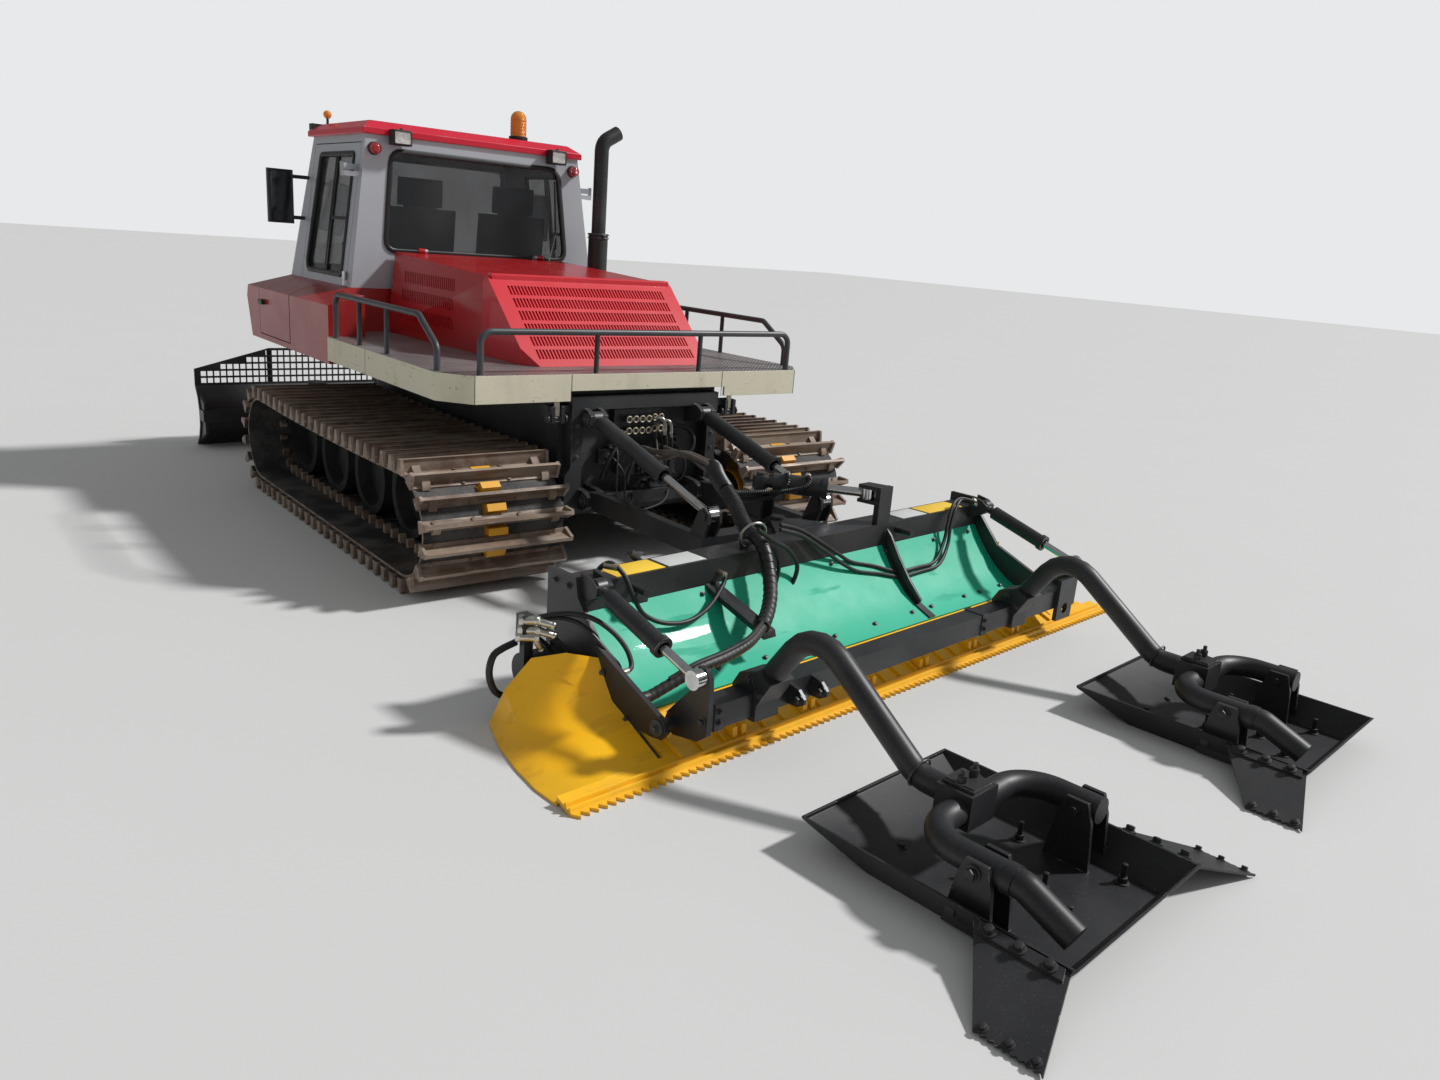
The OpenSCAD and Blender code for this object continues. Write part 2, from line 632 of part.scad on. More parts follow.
module grille() v() color([0.85, 0.15, 0.14]) {
  difference() {
    intersection() {
      difference() {
        hood_form(0);
        hood_form(20);
      }
      along_x(-900, 900, [[200, 1040], [760, 1040], [760, 1600], [200, 1600]]);
    }
    for (k = [0:5]) for (i = [-25:25])
      along_x(i * 20 - 5.5, i * 20 + 5.5, [[180, 1082 + k * 60], [700, 1082 + k * 60], [700, 1126 + k * 60], [180, 1126 + k * 60]]);
  }
  // Raised lip along the top
  along_x(-580, 580, [[704, 1452], [704, 1478], [712, 1484], [757, 1485], [757, 1460]]);
}

// Front blade

module blade_frame() v() color([0.10, 0.10, 0.11]) {
  both() {
    difference() {
      union() {
        along_x(365, 425, [[2560, 426], [2620, 440], [3300, 380], [3300, 280], [2900, 280], [2620, 355], [2560, 374]]);
        rod_x(365, 425, blade_pin[0], blade_pin[1], 26.5);
      }
      rod_x(360, 430, blade_pin[0], blade_pin[1], 22.3);
    }
    along_x(230, 248.5, [[3000, 330], [3120, 330], [3100, 540], [3060, 560], [3020, 540]]);
    along_x(291.5, 310, [[3000, 330], [3120, 330], [3100, 540], [3060, 560], [3020, 540]]);
    rod_x(230, 236, 3060, 520, 18);
  }
  box(-425, 425, 3200, 3300, 285, 375);
  box(-365, 365, 3000, 3060, 285, 345);
  difference() {
    union() {
      box(-90, 90, 3300, 3400, 290, 370);
      rod_z(0, blade_king[1], 290, 370, 80);
    }
    rod_z(0, blade_king[1], 280, 380, 30.3);
  }
  // Base of the angle cylinder
  box(-365, -298, 2868, 2932, 370, 441.5);
  rod_z(bang_base[0], bang_base[1], 425, 480, 14);
}

module blade() v() color([0.10, 0.10, 0.11]) {
  along_x(-blade_w, blade_w, [[3850, 0], [3868, 0], [3800, 70], [3762, 160], [3760, 260], [3790, 360], [3850, 440], [3830, 440], [3772, 366], [3742, 264], [3744, 156], [3784, 62]]);
  for (f = [-1, -0.69, -0.38, -0.075, 0.075, 0.38, 0.69, 1])
    along_x(f * (blade_w - 20) - 10, f * (blade_w - 20) + 10, [[3830, 20], [3784, 62], [3744, 156], [3742, 264], [3772, 366], [3800, 400], [3660, 330], [3640, 120]]);
  along_x(-blade_w, blade_w, [[3640, 200], [3740, 200], [3740, 280], [3640, 280]]);
  // Fork of the king pin
  box(-110, 110, 3430, 3640, 240, 289.5);
  box(-110, 110, 3430, 3640, 370.5, 420);
  rod_z(0, blade_king[1], 240, 289.5, 110);
  rod_z(0, blade_king[1], 370.5, 420, 110);
  rod_z(0, blade_king[1], 240, 420, 30);
  box(-110, 110, 3600, 3640, 240, 420);
  // Eye ears of the angle cylinder
  box(-600, -520, 3600, 3640, 200, 490);
  for (z = [417.5, 475.5]) box(-600, -520, 3464, 3640, z, z + 17);
}

module blade_screen() v() color([0.10, 0.10, 0.11]) {
  // Mesh of square openings, cut off along the sloping corners
  translate([0, 3846, 0]) rotate([90, 0, 0]) linear_extrude(8) difference() {
    polygon([[-blade_w, 440], [blade_w, 440], [blade_w, 560], [820, 710], [-820, 710], [-blade_w, 560]]);
    for (i = [-28:28]) for (j = [0:4])
      if (abs(i * 46) + 17 < min(blade_w - 24, 820 + (700 - (456 + j * 50 + 36)) * (blade_w - 820) / 150))
        translate([i * 46 - 18, 456 + j * 50]) square(36);
  }
  // Posts behind the mesh
  for (x = [-820, 0, 820]) box(x - 14, x + 14, 3846, 3862, 440, 705);
}

// Hydraulic cylinders: barrel from its base pin, rod up to its eye, both along +Z

module barrel(len_b, r, eye_w, pin_r) {
  difference() {
    union() {
      rotate([90, 0, 0]) cylinder(h = eye_w, r = pin_r + 18, center = true, $fn = 40);
      cylinder(h = 80, r = eye_w / 2 - 3, $fn = 40);
      translate([0, 0, pin_r + 44]) cylinder(h = len_b - pin_r - 44, r = r, $fn = 40);
      translate([0, 0, len_b]) cylinder(h = 26, r = r + 6, $fn = 40);
    }
    rotate([90, 0, 0]) cylinder(h = eye_w + 20, r = pin_r + 0.3, center = true, $fn = 40);
    translate([0, 0, pin_r + 62]) cylinder(h = len_b, r = r - 9, $fn = 40);
  }
}

module piston(len_b, len_all, r, rod_r, eye_w, pin_r, tail) {
  translate([0, 0, len_b - tail]) cylinder(h = 40, r = r - 9.3, $fn = 40);
  translate([0, 0, len_b - tail]) cylinder(h = len_all - len_b + tail - pin_r - 4, r = rod_r, $fn = 40);
  translate([0, 0, len_all]) rotate([90, 0, 0]) cylinder(h = eye_w, r = pin_r + 18, center = true, $fn = 40);
}

function yz(x, p) = [x, p[0], p[1]];

module rear_lift() v() color([0.11, 0.11, 0.12]) {
  both() {
    difference() {
      along_x(335, 385, [[-30, 440], [-120, 450], [-900, 450], [-900, 350], [-120, 350], [-30, 360]]);
      rod_x(320, 400, arm_pin[0], arm_pin[1], 22.3);
    }
    difference() {
      rod_x(335, 385, arm_pin[0], arm_pin[1], 40);
      rod_x(320, 400, arm_pin[0], arm_pin[1], 22.3);
    }
    along_x(309.5, 324.5, [[-900, 450], [-1000, 450], [-1030, 520], [-1025, 570], [-990, 592], [-955, 570]]);
    along_x(375.5, 390.5, [[-900, 450], [-1000, 450], [-1030, 520], [-1025, 570], [-990, 592], [-955, 570]]);
    rod_x(303, 309.5, lift_eye[0], lift_eye[1], 24);
    rod_x(390.5, 397, lift_eye[0], lift_eye[1], 24);
  }
  box(-395, 395, -1000, -900, 350, 450);
  difference() {
    union() {
      box(-80, 80, -1060, -1000, 366, 450);
      rod_z(0, swing_pin[1], 365.5, 484.5, 72);
    }
    rod_z(0, swing_pin[1], 300, 500, 34.3);
  }
  // Tower of the swing cylinder
  box(20, 130, -900, -780, 450, 470);
  box(20, 130, -900, -860, 350, 470);
  box(30, 44, -900, -790, 470, 560);
  box(106, 120, -900, -790, 470, 560);
  box(30, 120, -900, -790, 560, 585);
  rod_z(swing_base[0], swing_base[1], 585, 609.5, 30);
  rod_z(swing_base[0], swing_base[1], 585, 685, 20);
}

module lift_barrels() v() color([0.10, 0.10, 0.11]) both() {
  aim(yz(lift_x, lift_base), yz(lift_x, lift_eye)) barrel(610, 40, 50, 20);
}

module lift_rods() v() color([0.75, 0.75, 0.76]) both() {
  aim(yz(lift_x, lift_base), yz(lift_x, lift_eye)) piston(610, dist(lift_base, lift_eye), 40, 20, 50, 20, 150);
}

module swing_barrel() v() color([0.10, 0.10, 0.11]) {
  aim(swing_base, swing_eye) rotate([0, 0, 90]) barrel(300, 48, 60, 20);
}

module swing_rod() v() color([0.75, 0.75, 0.76]) {
  aim(swing_base, swing_eye) rotate([0, 0, 90]) piston(300, dist(swing_base, swing_eye), 48, 22, 50, 20, 130);
}

// Rear tool

side_pts = [[470, 180], [470, 540], [300, 540], [285, 470], [150, 320], [-150, 200], [-215, 175], [-228, 140], [-205, 108], [-150, 100], [100, 90], [300, 60]];

module tool_beam() t() color([0.11, 0.11, 0.12]) {
  difference() {
    box(-1300, 1300, 300, 440, 365, 505);
    box(-1290, 1290, 310, 430, 375, 495);
    for (x = [-900, 900]) rod_z(x, 370, 360, 380, 12);
  }
  both() {
    difference() {
      along_x(1300, 1320, side_pts);
      rod_x(1290, 1330, set_pin[0], set_pin[1], 20.3);
      rod_x(1290, 1330, 400, 178, 40.3);
    }
    // Base ears of the setter cylinders
    along_x(1226, 1244.5, [[300, 440], [300, 560], [235, 548], [200, 525], [205, 490], [240, 470]]);
    along_x(1289.5, 1300, [[300, 440], [300, 560], [235, 548], [200, 525], [205, 490], [240, 470]]);
    rod_x(1226, 1300, set_base[0], set_base[1], 18);
  }
  // Headstock around the swing pin
  head_pts = [[pin_t[0] - 170, 440], [pin_t[0] + 170, 440], [pin_t[0] + 50, pin_t[1]], [pin_t[0] - 50, pin_t[1]]];
  translate([0, 0, 485]) linear_extrude(30) polygon(head_pts);
  translate([0, 0, 335]) linear_extrude(30) polygon(head_pts);
  box(pin_t[0] - 170, pin_t[0] + 170, 300, 440, 335, 365);
  rod_z(pin_t[0], pin_t[1], 485, 515, 50);
  rod_z(pin_t[0], pin_t[1], 335, 365, 50);
  rod_z(pin_t[0], pin_t[1], 335, 530, 34);
  // Ear of the swing cylinder
  ear = [(swing_eye[0]) * cos(swing) + (swing_eye[1] - tool_y) * sin(swing), -(swing_eye[0]) * sin(swing) + (swing_eye[1] - tool_y) * cos(swing)];
  for (z = [596.5, 665.5]) translate([0, 0, z]) linear_extrude(18) polygon([[ear[0] - 40, ear[1] + 30], [ear[0] + 40, ear[1] + 30], [ear[0] + 75, 300], [ear[0] - 20, 300]]);
  box(ear[0] - 20, ear[0] + 75, 300, 330, 505, 683.5);
  // Motor on the left end
  rod_x(-1470, -1320, 400, 178, 70);
  // Straps over the cover's overlaps
  along_x(495, 539, [[300.3, 402], [262, 346.4], [205, 275.4], [135, 208.4], [60, 158.4], [-20, 124.4],
    [-23, 131], [57, 165], [131, 215], [200, 281], [256, 352], [300.3, 411]]);
  // Hose block on the motor's bracket
  box(-1530, -1486, 310, 358, 340, 430);
  box(-1500, -1462, 348, 378, 200, 345);
  // Locking pins on the beam's rear face
  for (x = [-1060, 600]) translate([x, 300.3, 462]) rotate([90, 0, 0]) cylinder(h = 92, r = 15, $fn = 32);
}

module tiller_cover() t() color([0.05, 0.62, 0.48]) {
  along_x(-1299.7, 1299.7, [[299.7, 400], [262, 345], [205, 275], [135, 208], [60, 158], [-20, 124], [-18, 116], [64, 150], [141, 201], [212, 269], [270, 340], [299.7, 385]]);
}

// Outline of the comb's flap in Y and Z, and of its wings beyond the side plates
flap_pts = [[-20, 115.7], [-60, 100], [-150, 62], [-278, 12], [-281, 0], [-262, 0], [-145, 50], [-50, 92], [-14, 104]];
wing_pts = [[-200, 37], [-278, 12], [-281, 0], [-262, 0], [-200, 25]];
tooth = 34.8;
tooth_n = 100;

module comb() t() color([0.93, 0.70, 0.05]) {
  along_x(-1299.7, 1299.7, flap_pts);
  both() along_x(1299.7, 1740, wing_pts);
  // Row of pointed teeth along the trailing edge
  linear_extrude(10) polygon(concat([[1740, -270], [-1740, -270]],
    [for (i = [0:tooth_n - 1]) each [[-1740 + i * tooth, -276], [-1740 + (i + 0.5) * tooth, -306]]], [[1740, -276]]));
  // Double ridge above the teeth
  for (y = [-268, -246]) along_x(-1740, 1740, [[y - 7, 10 - (y + 268) * -0.4], [y - 3, 26 + (y + 268) * 0.4], [y + 3, 28 + (y + 268) * 0.4], [y + 9, 12 - (y + 268) * -0.4]]);
  // Ribs down the flap
  for (i = [-12:12]) along_x(i * 104 - 5, i * 104 + 5, [[-40, 98], [-46, 114], [-64, 110], [-152, 76], [-238, 41], [-238, 22], [-146, 56]]);
  // Paired tabs with their bolt bosses
  for (x = [-966, -586, -204, 168, 546, 920]) for (w = [-34, 12]) {
    along_x(x + w, x + w + 22, [[-176, 44], [-196, 78], [-214, 84], [-232, 74], [-236, 22]]);
    rod_x(x + w + 22, x + w + 27, -208, 62, 11);
  }
}

bowl_rows = [
  [[-1320.3, 150, 285], [-1320.3, 100, 205], [-1320.3, 60, 151], [-1320.3, -60, 100], [-1320.3, -199.7, 37]],
  [[-1420, 208, 307], [-1420, 150, 200], [-1420, 70, 125], [-1420, -60, 85], [-1420, -199.7, 37]],
  [[-1500, 304, 272], [-1510, 210, 160], [-1520, 110, 95], [-1530, -50, 65], [-1530, -199.7, 37]],
  [[-1570, 360, 150], [-1600, 240, 80], [-1630, 110, 50], [-1650, -40, 38], [-1650, -199.7, 33]],
  [[-1600, 410, 8], [-1670, 240, 8], [-1715, 60, 8], [-1738, -80, 8], [-1740, -199.7, 8]]];

// Concave end piece as a skin of even thickness on a grid of points
module bowl() {
  rows = bowl_rows;
  m = len(rows);
  n = len(rows[0]);
  top = [for (r = rows) for (p = r) p];
  low = [for (p = top) p - [0, 0, 8]];
  polyhedron(points = concat(top, low), faces = concat(
    [for (i = [0:m - 2]) for (j = [0:n - 2]) each [[i * n + j, i * n + j + 1, (i + 1) * n + j], [i * n + j + 1, (i + 1) * n + j + 1, (i + 1) * n + j]]],
    [for (i = [0:m - 2]) for (j = [0:n - 2]) each [[m * n + i * n + j, m * n + (i + 1) * n + j, m * n + i * n + j + 1], [m * n + i * n + j + 1, m * n + (i + 1) * n + j, m * n + (i + 1) * n + j + 1]]],
    [for (i = [0:m - 2]) each [[i * n, (i + 1) * n, m * n + i * n], [(i + 1) * n, m * n + (i + 1) * n, m * n + i * n]]],
    [for (i = [0:m - 2]) each [[i * n + n - 1, m * n + i * n + n - 1, (i + 1) * n + n - 1], [(i + 1) * n + n - 1, m * n + i * n + n - 1, m * n + (i + 1) * n + n - 1]]],
    [for (j = [0:n - 2]) each [[j, m * n + j, j + 1], [j + 1, m * n + j, m * n + j + 1]]],
    [for (j = [0:n - 2]) each [[(m - 1) * n + j, (m - 1) * n + j + 1, m * n + (m - 1) * n + j], [(m - 1) * n + j + 1, m * n + (m - 1) * n + j + 1, m * n + (m - 1) * n + j]]]
  ));
}

module end_bowls() t() color([0.93, 0.70, 0.05]) both() bowl();

module rotor() t() color([0.20, 0.20, 0.21]) {
  rod_x(-1294, 1294, 400, 178, 70);
  rod_x(-1319.7, -1290, 400, 178, 40);
  rod_x(1290, 1319.7, 400, 178, 40);
  for (k = [0:24]) for (j = [0:2]) translate([-1248 + k * 104, 400, 178]) rotate([j * 120 + k * 43, 0, 0])
    translate([-11, -16, 60]) cube([22, 32, rotor_r - 62]);
}

module setter_barrels() t() color([0.10, 0.10, 0.11]) both() {
  aim(yz(set_x, set_base), yz(set_x, set_eye)) barrel(355, 34, 44, 18);
}

module setter_rods() t() color([0.75, 0.75, 0.76]) both() {
  aim(yz(set_x, set_base), yz(set_x, set_eye)) piston(355, dist(set_base, set_eye), 34, 17, 41, 16, 130);
}

module setter_bar() t() color([0.10, 0.10, 0.11]) {
  both() {
    difference() {
      along_x(1225, 1246, [[-136, 144], [-150, 178], [-262, 300], [-262, 352], [-285, 388], [-320, 388], [-340, 355], [-345, 300], [-345, 155], [-300, 120], [-181, 99], [-150, 110]]);
      rod_x(1200, 1260, set_pin[0], set_pin[1], 10);
    }
    rod_x(1205, 1319, set_pin[0], set_pin[1], 20);
    rod_x(1216, 1225, set_eye[0], set_eye[1], 24);
  }
  box(-1225, 1225, -325, -235, 155, 245);
  // Hose straps round the bar
  for (x = [-1174, 457]) box(x - 22, x + 22, -329, -231, 151, 249);
  // Clevis ears on the bar's rear face
  for (x = [-827, -703]) difference() {
    along_x(x, x + 14, [[-320, 160], [-320, 240], [-372, 228], [-402, 200], [-402, 180], [-372, 162]]);
    rod_x(x - 5, x + 20, -376, 194, 13);
  }
  // Plate with a round hole on the right end
  difference() {
    box(1085, 1225, -345, -325, 95, 300);
    translate([1155, -300, 150]) rotate([90, 0, 0]) cylinder(h = 80, r = 27, $fn = 40);
  }
}

module tow_tubes() t() color([0.09, 0.09, 0.10]) {
  for (s = [[-950, -926], [738, 762]]) {
    difference() {
      pipe_yz(s[0], [[-285, 215], [-520, 545], [-985, 200], [-1150, 200]], 140, tow_d / 2);
      box(s[0] - 100, s[0] + 100, -325.3, -234.7, 154.7, 245.3);
    }
    // Gussets and clamp
    difference() {
      along_x(s[0] - 60, s[0] + 60, [[-340, 140], [-340, 200], [-400, 300], [-330, 330], [-250, 300], [-220, 250], [-220, 140]]);
      box(s[0] - 100, s[0] + 100, -325.3, -234.7, 154.7, 245.3);
    }
    box(s[0] - 70, s[0] + 70, -1216, -1090, 140, 252);
    difference() {
      translate([s[1], 0, 190]) bent([[272, -1440], [272, -1170], [-272, -1170], [-272, -1470]], 130, tow_d / 2);
      rod_x(s[1] - 350, s[1] + 350, pan_pivot[0], pan_pivot[1], 14.3);
    }
    // Collar and the long arm's sloping end
    translate([s[1] - 272, -1448, 190]) rotate([90, 0, 0]) cylinder(h = 30, r = tow_d / 2 + 3, $fn = 32);
    pipe_yz(s[1] - 272, [[-1464, 190], [-1500, 190], [-1655, 122]], 60, tow_d / 2 - 0.6);
    // Clamp cap with its two posts
    box(s[0] - 46, s[0] + 46, -1204, -1102, 252, 266);
    for (x = [-30, 30]) rod_z(s[0] + x, -1153, 266, 290, 15);
  }
}

// Pans in their own frame: middle at the origin, ground at Z zero

module pan_form(t) {
  intersection() {
    along_y(-460, 460, [[-310 + t, -1 + t], [310 - t, -1 + t], [376 - t, 111], [-376 + t, 111]]);
    along_x(-400, 400, [[-448 + t, 111], [-380 + t, -1 + t], [230, -1 + t], [448 - t, 96], [448 - t, 111]]);
  }
}

module pan_tray(fin_right) {
  difference() {
    intersection() {
      pan_form(0);
      box(-500, 500, -500, 500, 0, 108);
    }
    pan_form(9);
  }
  for (x = [-330.5, -229.5, 213.5, 314.5]) along_x(x, x + 16, [[-185, 8], [-35, 8], [-60, 160], [-80, 222], [-150, 222], [-170, 160]]);
  for (x = [-346, 193]) rod_x(x, x + 150, pan_pivot[0] - pan_y, pan_pivot[1], 14);
  // Side wings that scrape the edge
  pan_wing();
  if (fin_right) mirror([1, 0, 0]) pan_wing();
}

module pan_wing() translate([-365, 0, 93]) rotate([0, -18.4, 0]) {
  linear_extrude(8) polygon(concat([[0, -150], [0, -430], [-284, -520]],
    [for (k = [0:8]) each [[-284, -516 + k * 20], [-276, -508 + k * 20]]], [[-284, -336]]));
  // Bolted root of the wing
  translate([0, 0, 7.5]) linear_extrude(7) polygon([[-6, -175], [-6, -418], [-44, -430], [-44, -192]]);
}

module pan_left() t() color([0.09, 0.09, 0.10]) translate([pan_x[0], pan_y, 0]) pan_tray(true);

module pan_right() t() color([0.09, 0.09, 0.10]) translate([pan_x[1], pan_y, 0]) pan_tray(false);

module blade_barrels() v() color([0.10, 0.10, 0.11]) both() {
  aim(yz(blift_x, blift_base), yz(blift_x, blift_eye)) barrel(330, 32, 42, 16);
}

module blade_rods() v() color([0.75, 0.75, 0.76]) both() {
  aim(yz(blift_x, blift_base), yz(blift_x, blift_eye)) piston(330, dist(blift_base, blift_eye), 32, 16, 42, 16, 110);
}

module angle_barrel() v() color([0.10, 0.10, 0.11]) {
  aim(bang_base, bang_eye) rotate([0, 0, 90]) barrel(380, 30, 26, 14);
}

module angle_rod() v() color([0.75, 0.75, 0.76]) {
  aim(bang_base, bang_eye) rotate([0, 0, 90]) piston(380, dist(bang_base, bang_eye), 30, 15, 40, 14, 170);
}

// Hoses held at both ends

module portal_hoses() v() color([0.07, 0.07, 0.08]) {
  hose([[-157, 59.7, 732], [-157, 34, 732], [-150, 2, 712], [-100, -14, 664], [10, -25, 620], [150, -32, 592], [255, -22, 606],
    [308, 5, 655], [300, 30, 715], [250, 44, 742], [180, 52, 752], [128, 55, 752], [110.3, 55, 752]],
    13, [0, 1, 0.3]);
  hose([[84, 59.7, 720], [84, 35, 720], [92, 8, 680], [98, 0, 600], [96, 4, 520], [92, 30, 460],
    [90, 70, 445], [90, 99.7, 445]], 11, [1, 0.2, 0]);
  hose([[44, 59.7, 720], [44, 35, 720], [48, 6, 680], [52, -4, 600], [50, 0, 515], [46, 30, 452],
    [44, 70, 437], [44, 99.7, 437]], 11, [1, 0.2, 0]);
}

// Wrapped bundle from above the headstock, over the beam and the cover to the left cylinder
module tool_loom() t() color([0.07, 0.07, 0.08]) {
  hose([[-330, 560, 700], [-338, 500, 660], [-350, 440, 608], [-360, 380, 566], [-372, 310, 549],
    [-381, 256, 514], [-400, 205, 440], [-440, 150, 375], [-516, 85, 330], [-620, 15, 300], [-760, -50, 285],
    [-920, -90, 280], [-1080, -102, 272], [-1190, -88, 235], [-1262, -75, 208], [-1299.3, -75, 208]],
    32, [0, 0.5, 1], 2, 10);
  // Saddle on the beam
  box(-390, -340, 366, 394, 505.3, 540);
}

module tool_hoses() t() color([0.07, 0.07, 0.08]) {
  hose([[-1160, 370, 505.3], [-1160, 370, 530], [-1140, 330, 560], [-1112, 280, 520], [-1090, 245, 440],
    [-1050, 225, 370], [-960, 205, 325], [-840, 200, 312], [-720, 215, 345], [-610, 255, 410],
    [-596, 270, 440], [-596, 299.7, 440]], 10, [0.2, 1, 1.2]);
  hose([[-1485.6, 334, 405], [-1460, 334, 405], [-1412, 302, 418], [-1356, 246, 426], [-1308, 192, 412],
    [-1262, 140, 368], [-1236, 98, 316], [-1236, 66, 268], [-1262, 52, 256], [-1299.4, 52, 256]],
    10, [1, 0, 1.6]);
}

hull_frame();
rear_portal();
coupler_bank();
deck();
deck_rails();
track_left();
track_right();
wheels_left();
wheels_right();
sprocket_left();
sprocket_right();
cab_lower();
cab_upper();
cab_roof();
cab_glass();
seats();
console();
engine_block();
exhaust_stack();
work_lamps();
signal_lamps();
mirrors();
front_mount();
hood();
grille();
door_left();
door_right();
glass_left();
glass_right();
blade_frame();
blade();
blade_screen();
blade_barrels();
blade_rods();
angle_barrel();
angle_rod();
rear_lift();
lift_barrels();
lift_rods();
swing_barrel();
swing_rod();
tool_beam();
tiller_cover();
comb();
end_bowls();
rotor();
setter_barrels();
setter_rods();
setter_bar();
tow_tubes();
pan_left();
pan_right();
portal_hoses();
tool_loom();
tool_hoses();
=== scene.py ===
# %% [markdown]
# # A snow groomer, dressed for its picture
#
# The machine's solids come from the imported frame, in metres. Z is up, Y runs to the front of
# the machine and X to its right, and the origin lies on the ground under its middle. Everything
# below adds finish to those solids, or adds thin pieces that ride on them.

import json
import math

import bmesh
import bpy
import numpy as np
from mathutils import Matrix, Vector

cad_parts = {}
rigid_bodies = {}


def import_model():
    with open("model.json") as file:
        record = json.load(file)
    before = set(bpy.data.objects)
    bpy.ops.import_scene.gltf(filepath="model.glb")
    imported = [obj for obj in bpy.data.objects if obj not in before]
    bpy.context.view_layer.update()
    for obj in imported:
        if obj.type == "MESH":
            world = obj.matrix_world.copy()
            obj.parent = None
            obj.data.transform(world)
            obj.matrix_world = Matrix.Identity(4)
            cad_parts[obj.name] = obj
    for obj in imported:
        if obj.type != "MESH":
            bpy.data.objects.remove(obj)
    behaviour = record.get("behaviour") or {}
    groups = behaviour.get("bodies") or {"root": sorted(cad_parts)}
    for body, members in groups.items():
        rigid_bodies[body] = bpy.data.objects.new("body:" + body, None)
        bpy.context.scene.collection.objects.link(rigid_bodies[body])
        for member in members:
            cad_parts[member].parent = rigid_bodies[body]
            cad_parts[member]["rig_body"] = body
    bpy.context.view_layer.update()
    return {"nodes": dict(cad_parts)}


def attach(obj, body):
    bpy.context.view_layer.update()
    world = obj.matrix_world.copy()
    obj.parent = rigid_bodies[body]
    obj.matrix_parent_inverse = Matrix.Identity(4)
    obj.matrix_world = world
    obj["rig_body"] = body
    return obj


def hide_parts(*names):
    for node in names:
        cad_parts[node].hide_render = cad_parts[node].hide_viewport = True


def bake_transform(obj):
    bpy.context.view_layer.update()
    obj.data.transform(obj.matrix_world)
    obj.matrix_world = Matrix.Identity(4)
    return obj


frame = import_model()

# %% [markdown]
# ## Where the camera stands
#
# The picture was taken at eye height behind the left rear corner, with a wide lens held a little
# crooked. Three angles, a place and a focal length say all of that. We could aim the camera at a
# target with a constraint, but a constraint can't hold the roll, so the three axes of the camera
# are worked out from yaw, pitch and roll and put into its matrix.

# %% Camera
IMAGE_W = 1440
FOCAL_PX = 1053.15
SENSOR_MM = 36.0
EYE = (-3.2764, -4.689, 1.732)
YAW, PITCH, ROLL = 39.98, 15.72, 4.49


def camera_axes(yaw, pitch, roll):
    """Right, up and forward of the camera: yaw turns from +Y towards +X, pitch looks down."""
    y, p, r = (math.radians(a) for a in (yaw, pitch, roll))
    level = Vector((math.sin(y), math.cos(y), 0))
    forward = level * math.cos(p) - Vector((0, 0, math.sin(p)))
    side = Vector((math.cos(y), -math.sin(y), 0))
    top = side.cross(forward)
    right = side * math.cos(r) + top * math.sin(r)
    return right, right.cross(forward), forward


right, up, forward = camera_axes(YAW, PITCH, ROLL)
lens = bpy.data.cameras.new("camera")
lens.sensor_width = SENSOR_MM
lens.lens = SENSOR_MM * FOCAL_PX / IMAGE_W
lens.clip_end = 200
camera = bpy.data.objects.new("camera", lens)
bpy.context.scene.collection.objects.link(camera)
turn = Matrix((right, up, -forward)).transposed().to_4x4()
camera.matrix_world = Matrix.Translation(EYE) @ turn
bpy.context.scene.camera = camera
print("lens", round(lens.lens, 2), "mm")

# %% [markdown]
# ## Two grids to measure on
#
# Details are placed in millimetres, on the grid that suits them. The vehicle's grid has its Y zero
# at the rear edge of the deck. The tool's grid turns with the tool, which is parked a few degrees
# off square: a point is turned about the tool's own origin and then moved behind the vehicle.

# %% Grids
SHIFT = Vector((-0.0174, -0.147, 0))
SWING = 5.2
TOOL_BACK = 1.650
VEHICLE = Matrix.Translation(SHIFT) @ Matrix.Scale(0.001, 4)
TOOL = (
    Matrix.Translation(SHIFT - Vector((0, TOOL_BACK, 0)))
    @ Matrix.Rotation(math.radians(SWING), 4, "Z")
    @ Matrix.Scale(0.001, 4)
)

# Ends, height and radius of the loop that the belts follow, in millimetres
TRACK_REAR, TRACK_FRONT, TRACK_Z, BELT_RADIUS = 115, 2325, 330, 248
print("tool turned by", SWING, "degrees,", TOOL_BACK, "m behind the deck's edge")

# %% [markdown]
# ## Light
#
# A studio for a machine this size is a pale room with one broad lamp. The lamp is a wide sun from
# the right, so that shadows fall to the left as they do outdoors, and the world fills the rest.
# The world has three levels: full for the camera and for what is seen through glass, under half
# as fill light, and least in reflections, so that black steel stays black under its gloss.

# %% Sun, and the levels of the room
SUN_FROM = (0.86, -0.40, 0.86)
SUN_STRENGTH = 3.5
SUN_WIDTH = 5.0
FILL = 0.44
MIRRORED = 0.26
ROOM = (0.80, 0.815, 0.83)

sun = bpy.data.lights.new("sun", "SUN")
sun.energy = SUN_STRENGTH
sun.angle = math.radians(SUN_WIDTH)
lamp = bpy.data.objects.new("sun", sun)
lamp.rotation_euler = Vector(SUN_FROM).to_track_quat("Z", "Y").to_euler()
bpy.context.scene.collection.objects.link(lamp)

# %% World light: a level for each kind of ray
world = bpy.data.worlds.new("room")
bpy.context.scene.world = world
world.use_nodes = True
tree = world.node_tree
path = tree.nodes.new("ShaderNodeLightPath")


def level_step(operation, *values):
    """One Math node of the world's light level; a value is a number or a socket."""
    node = tree.nodes.new("ShaderNodeMath")
    node.operation = operation
    for socket, value in zip(node.inputs, values):
        if isinstance(value, (int, float)):
            socket.default_value = value
        else:
            tree.links.new(value, socket)
    return node.outputs[0]


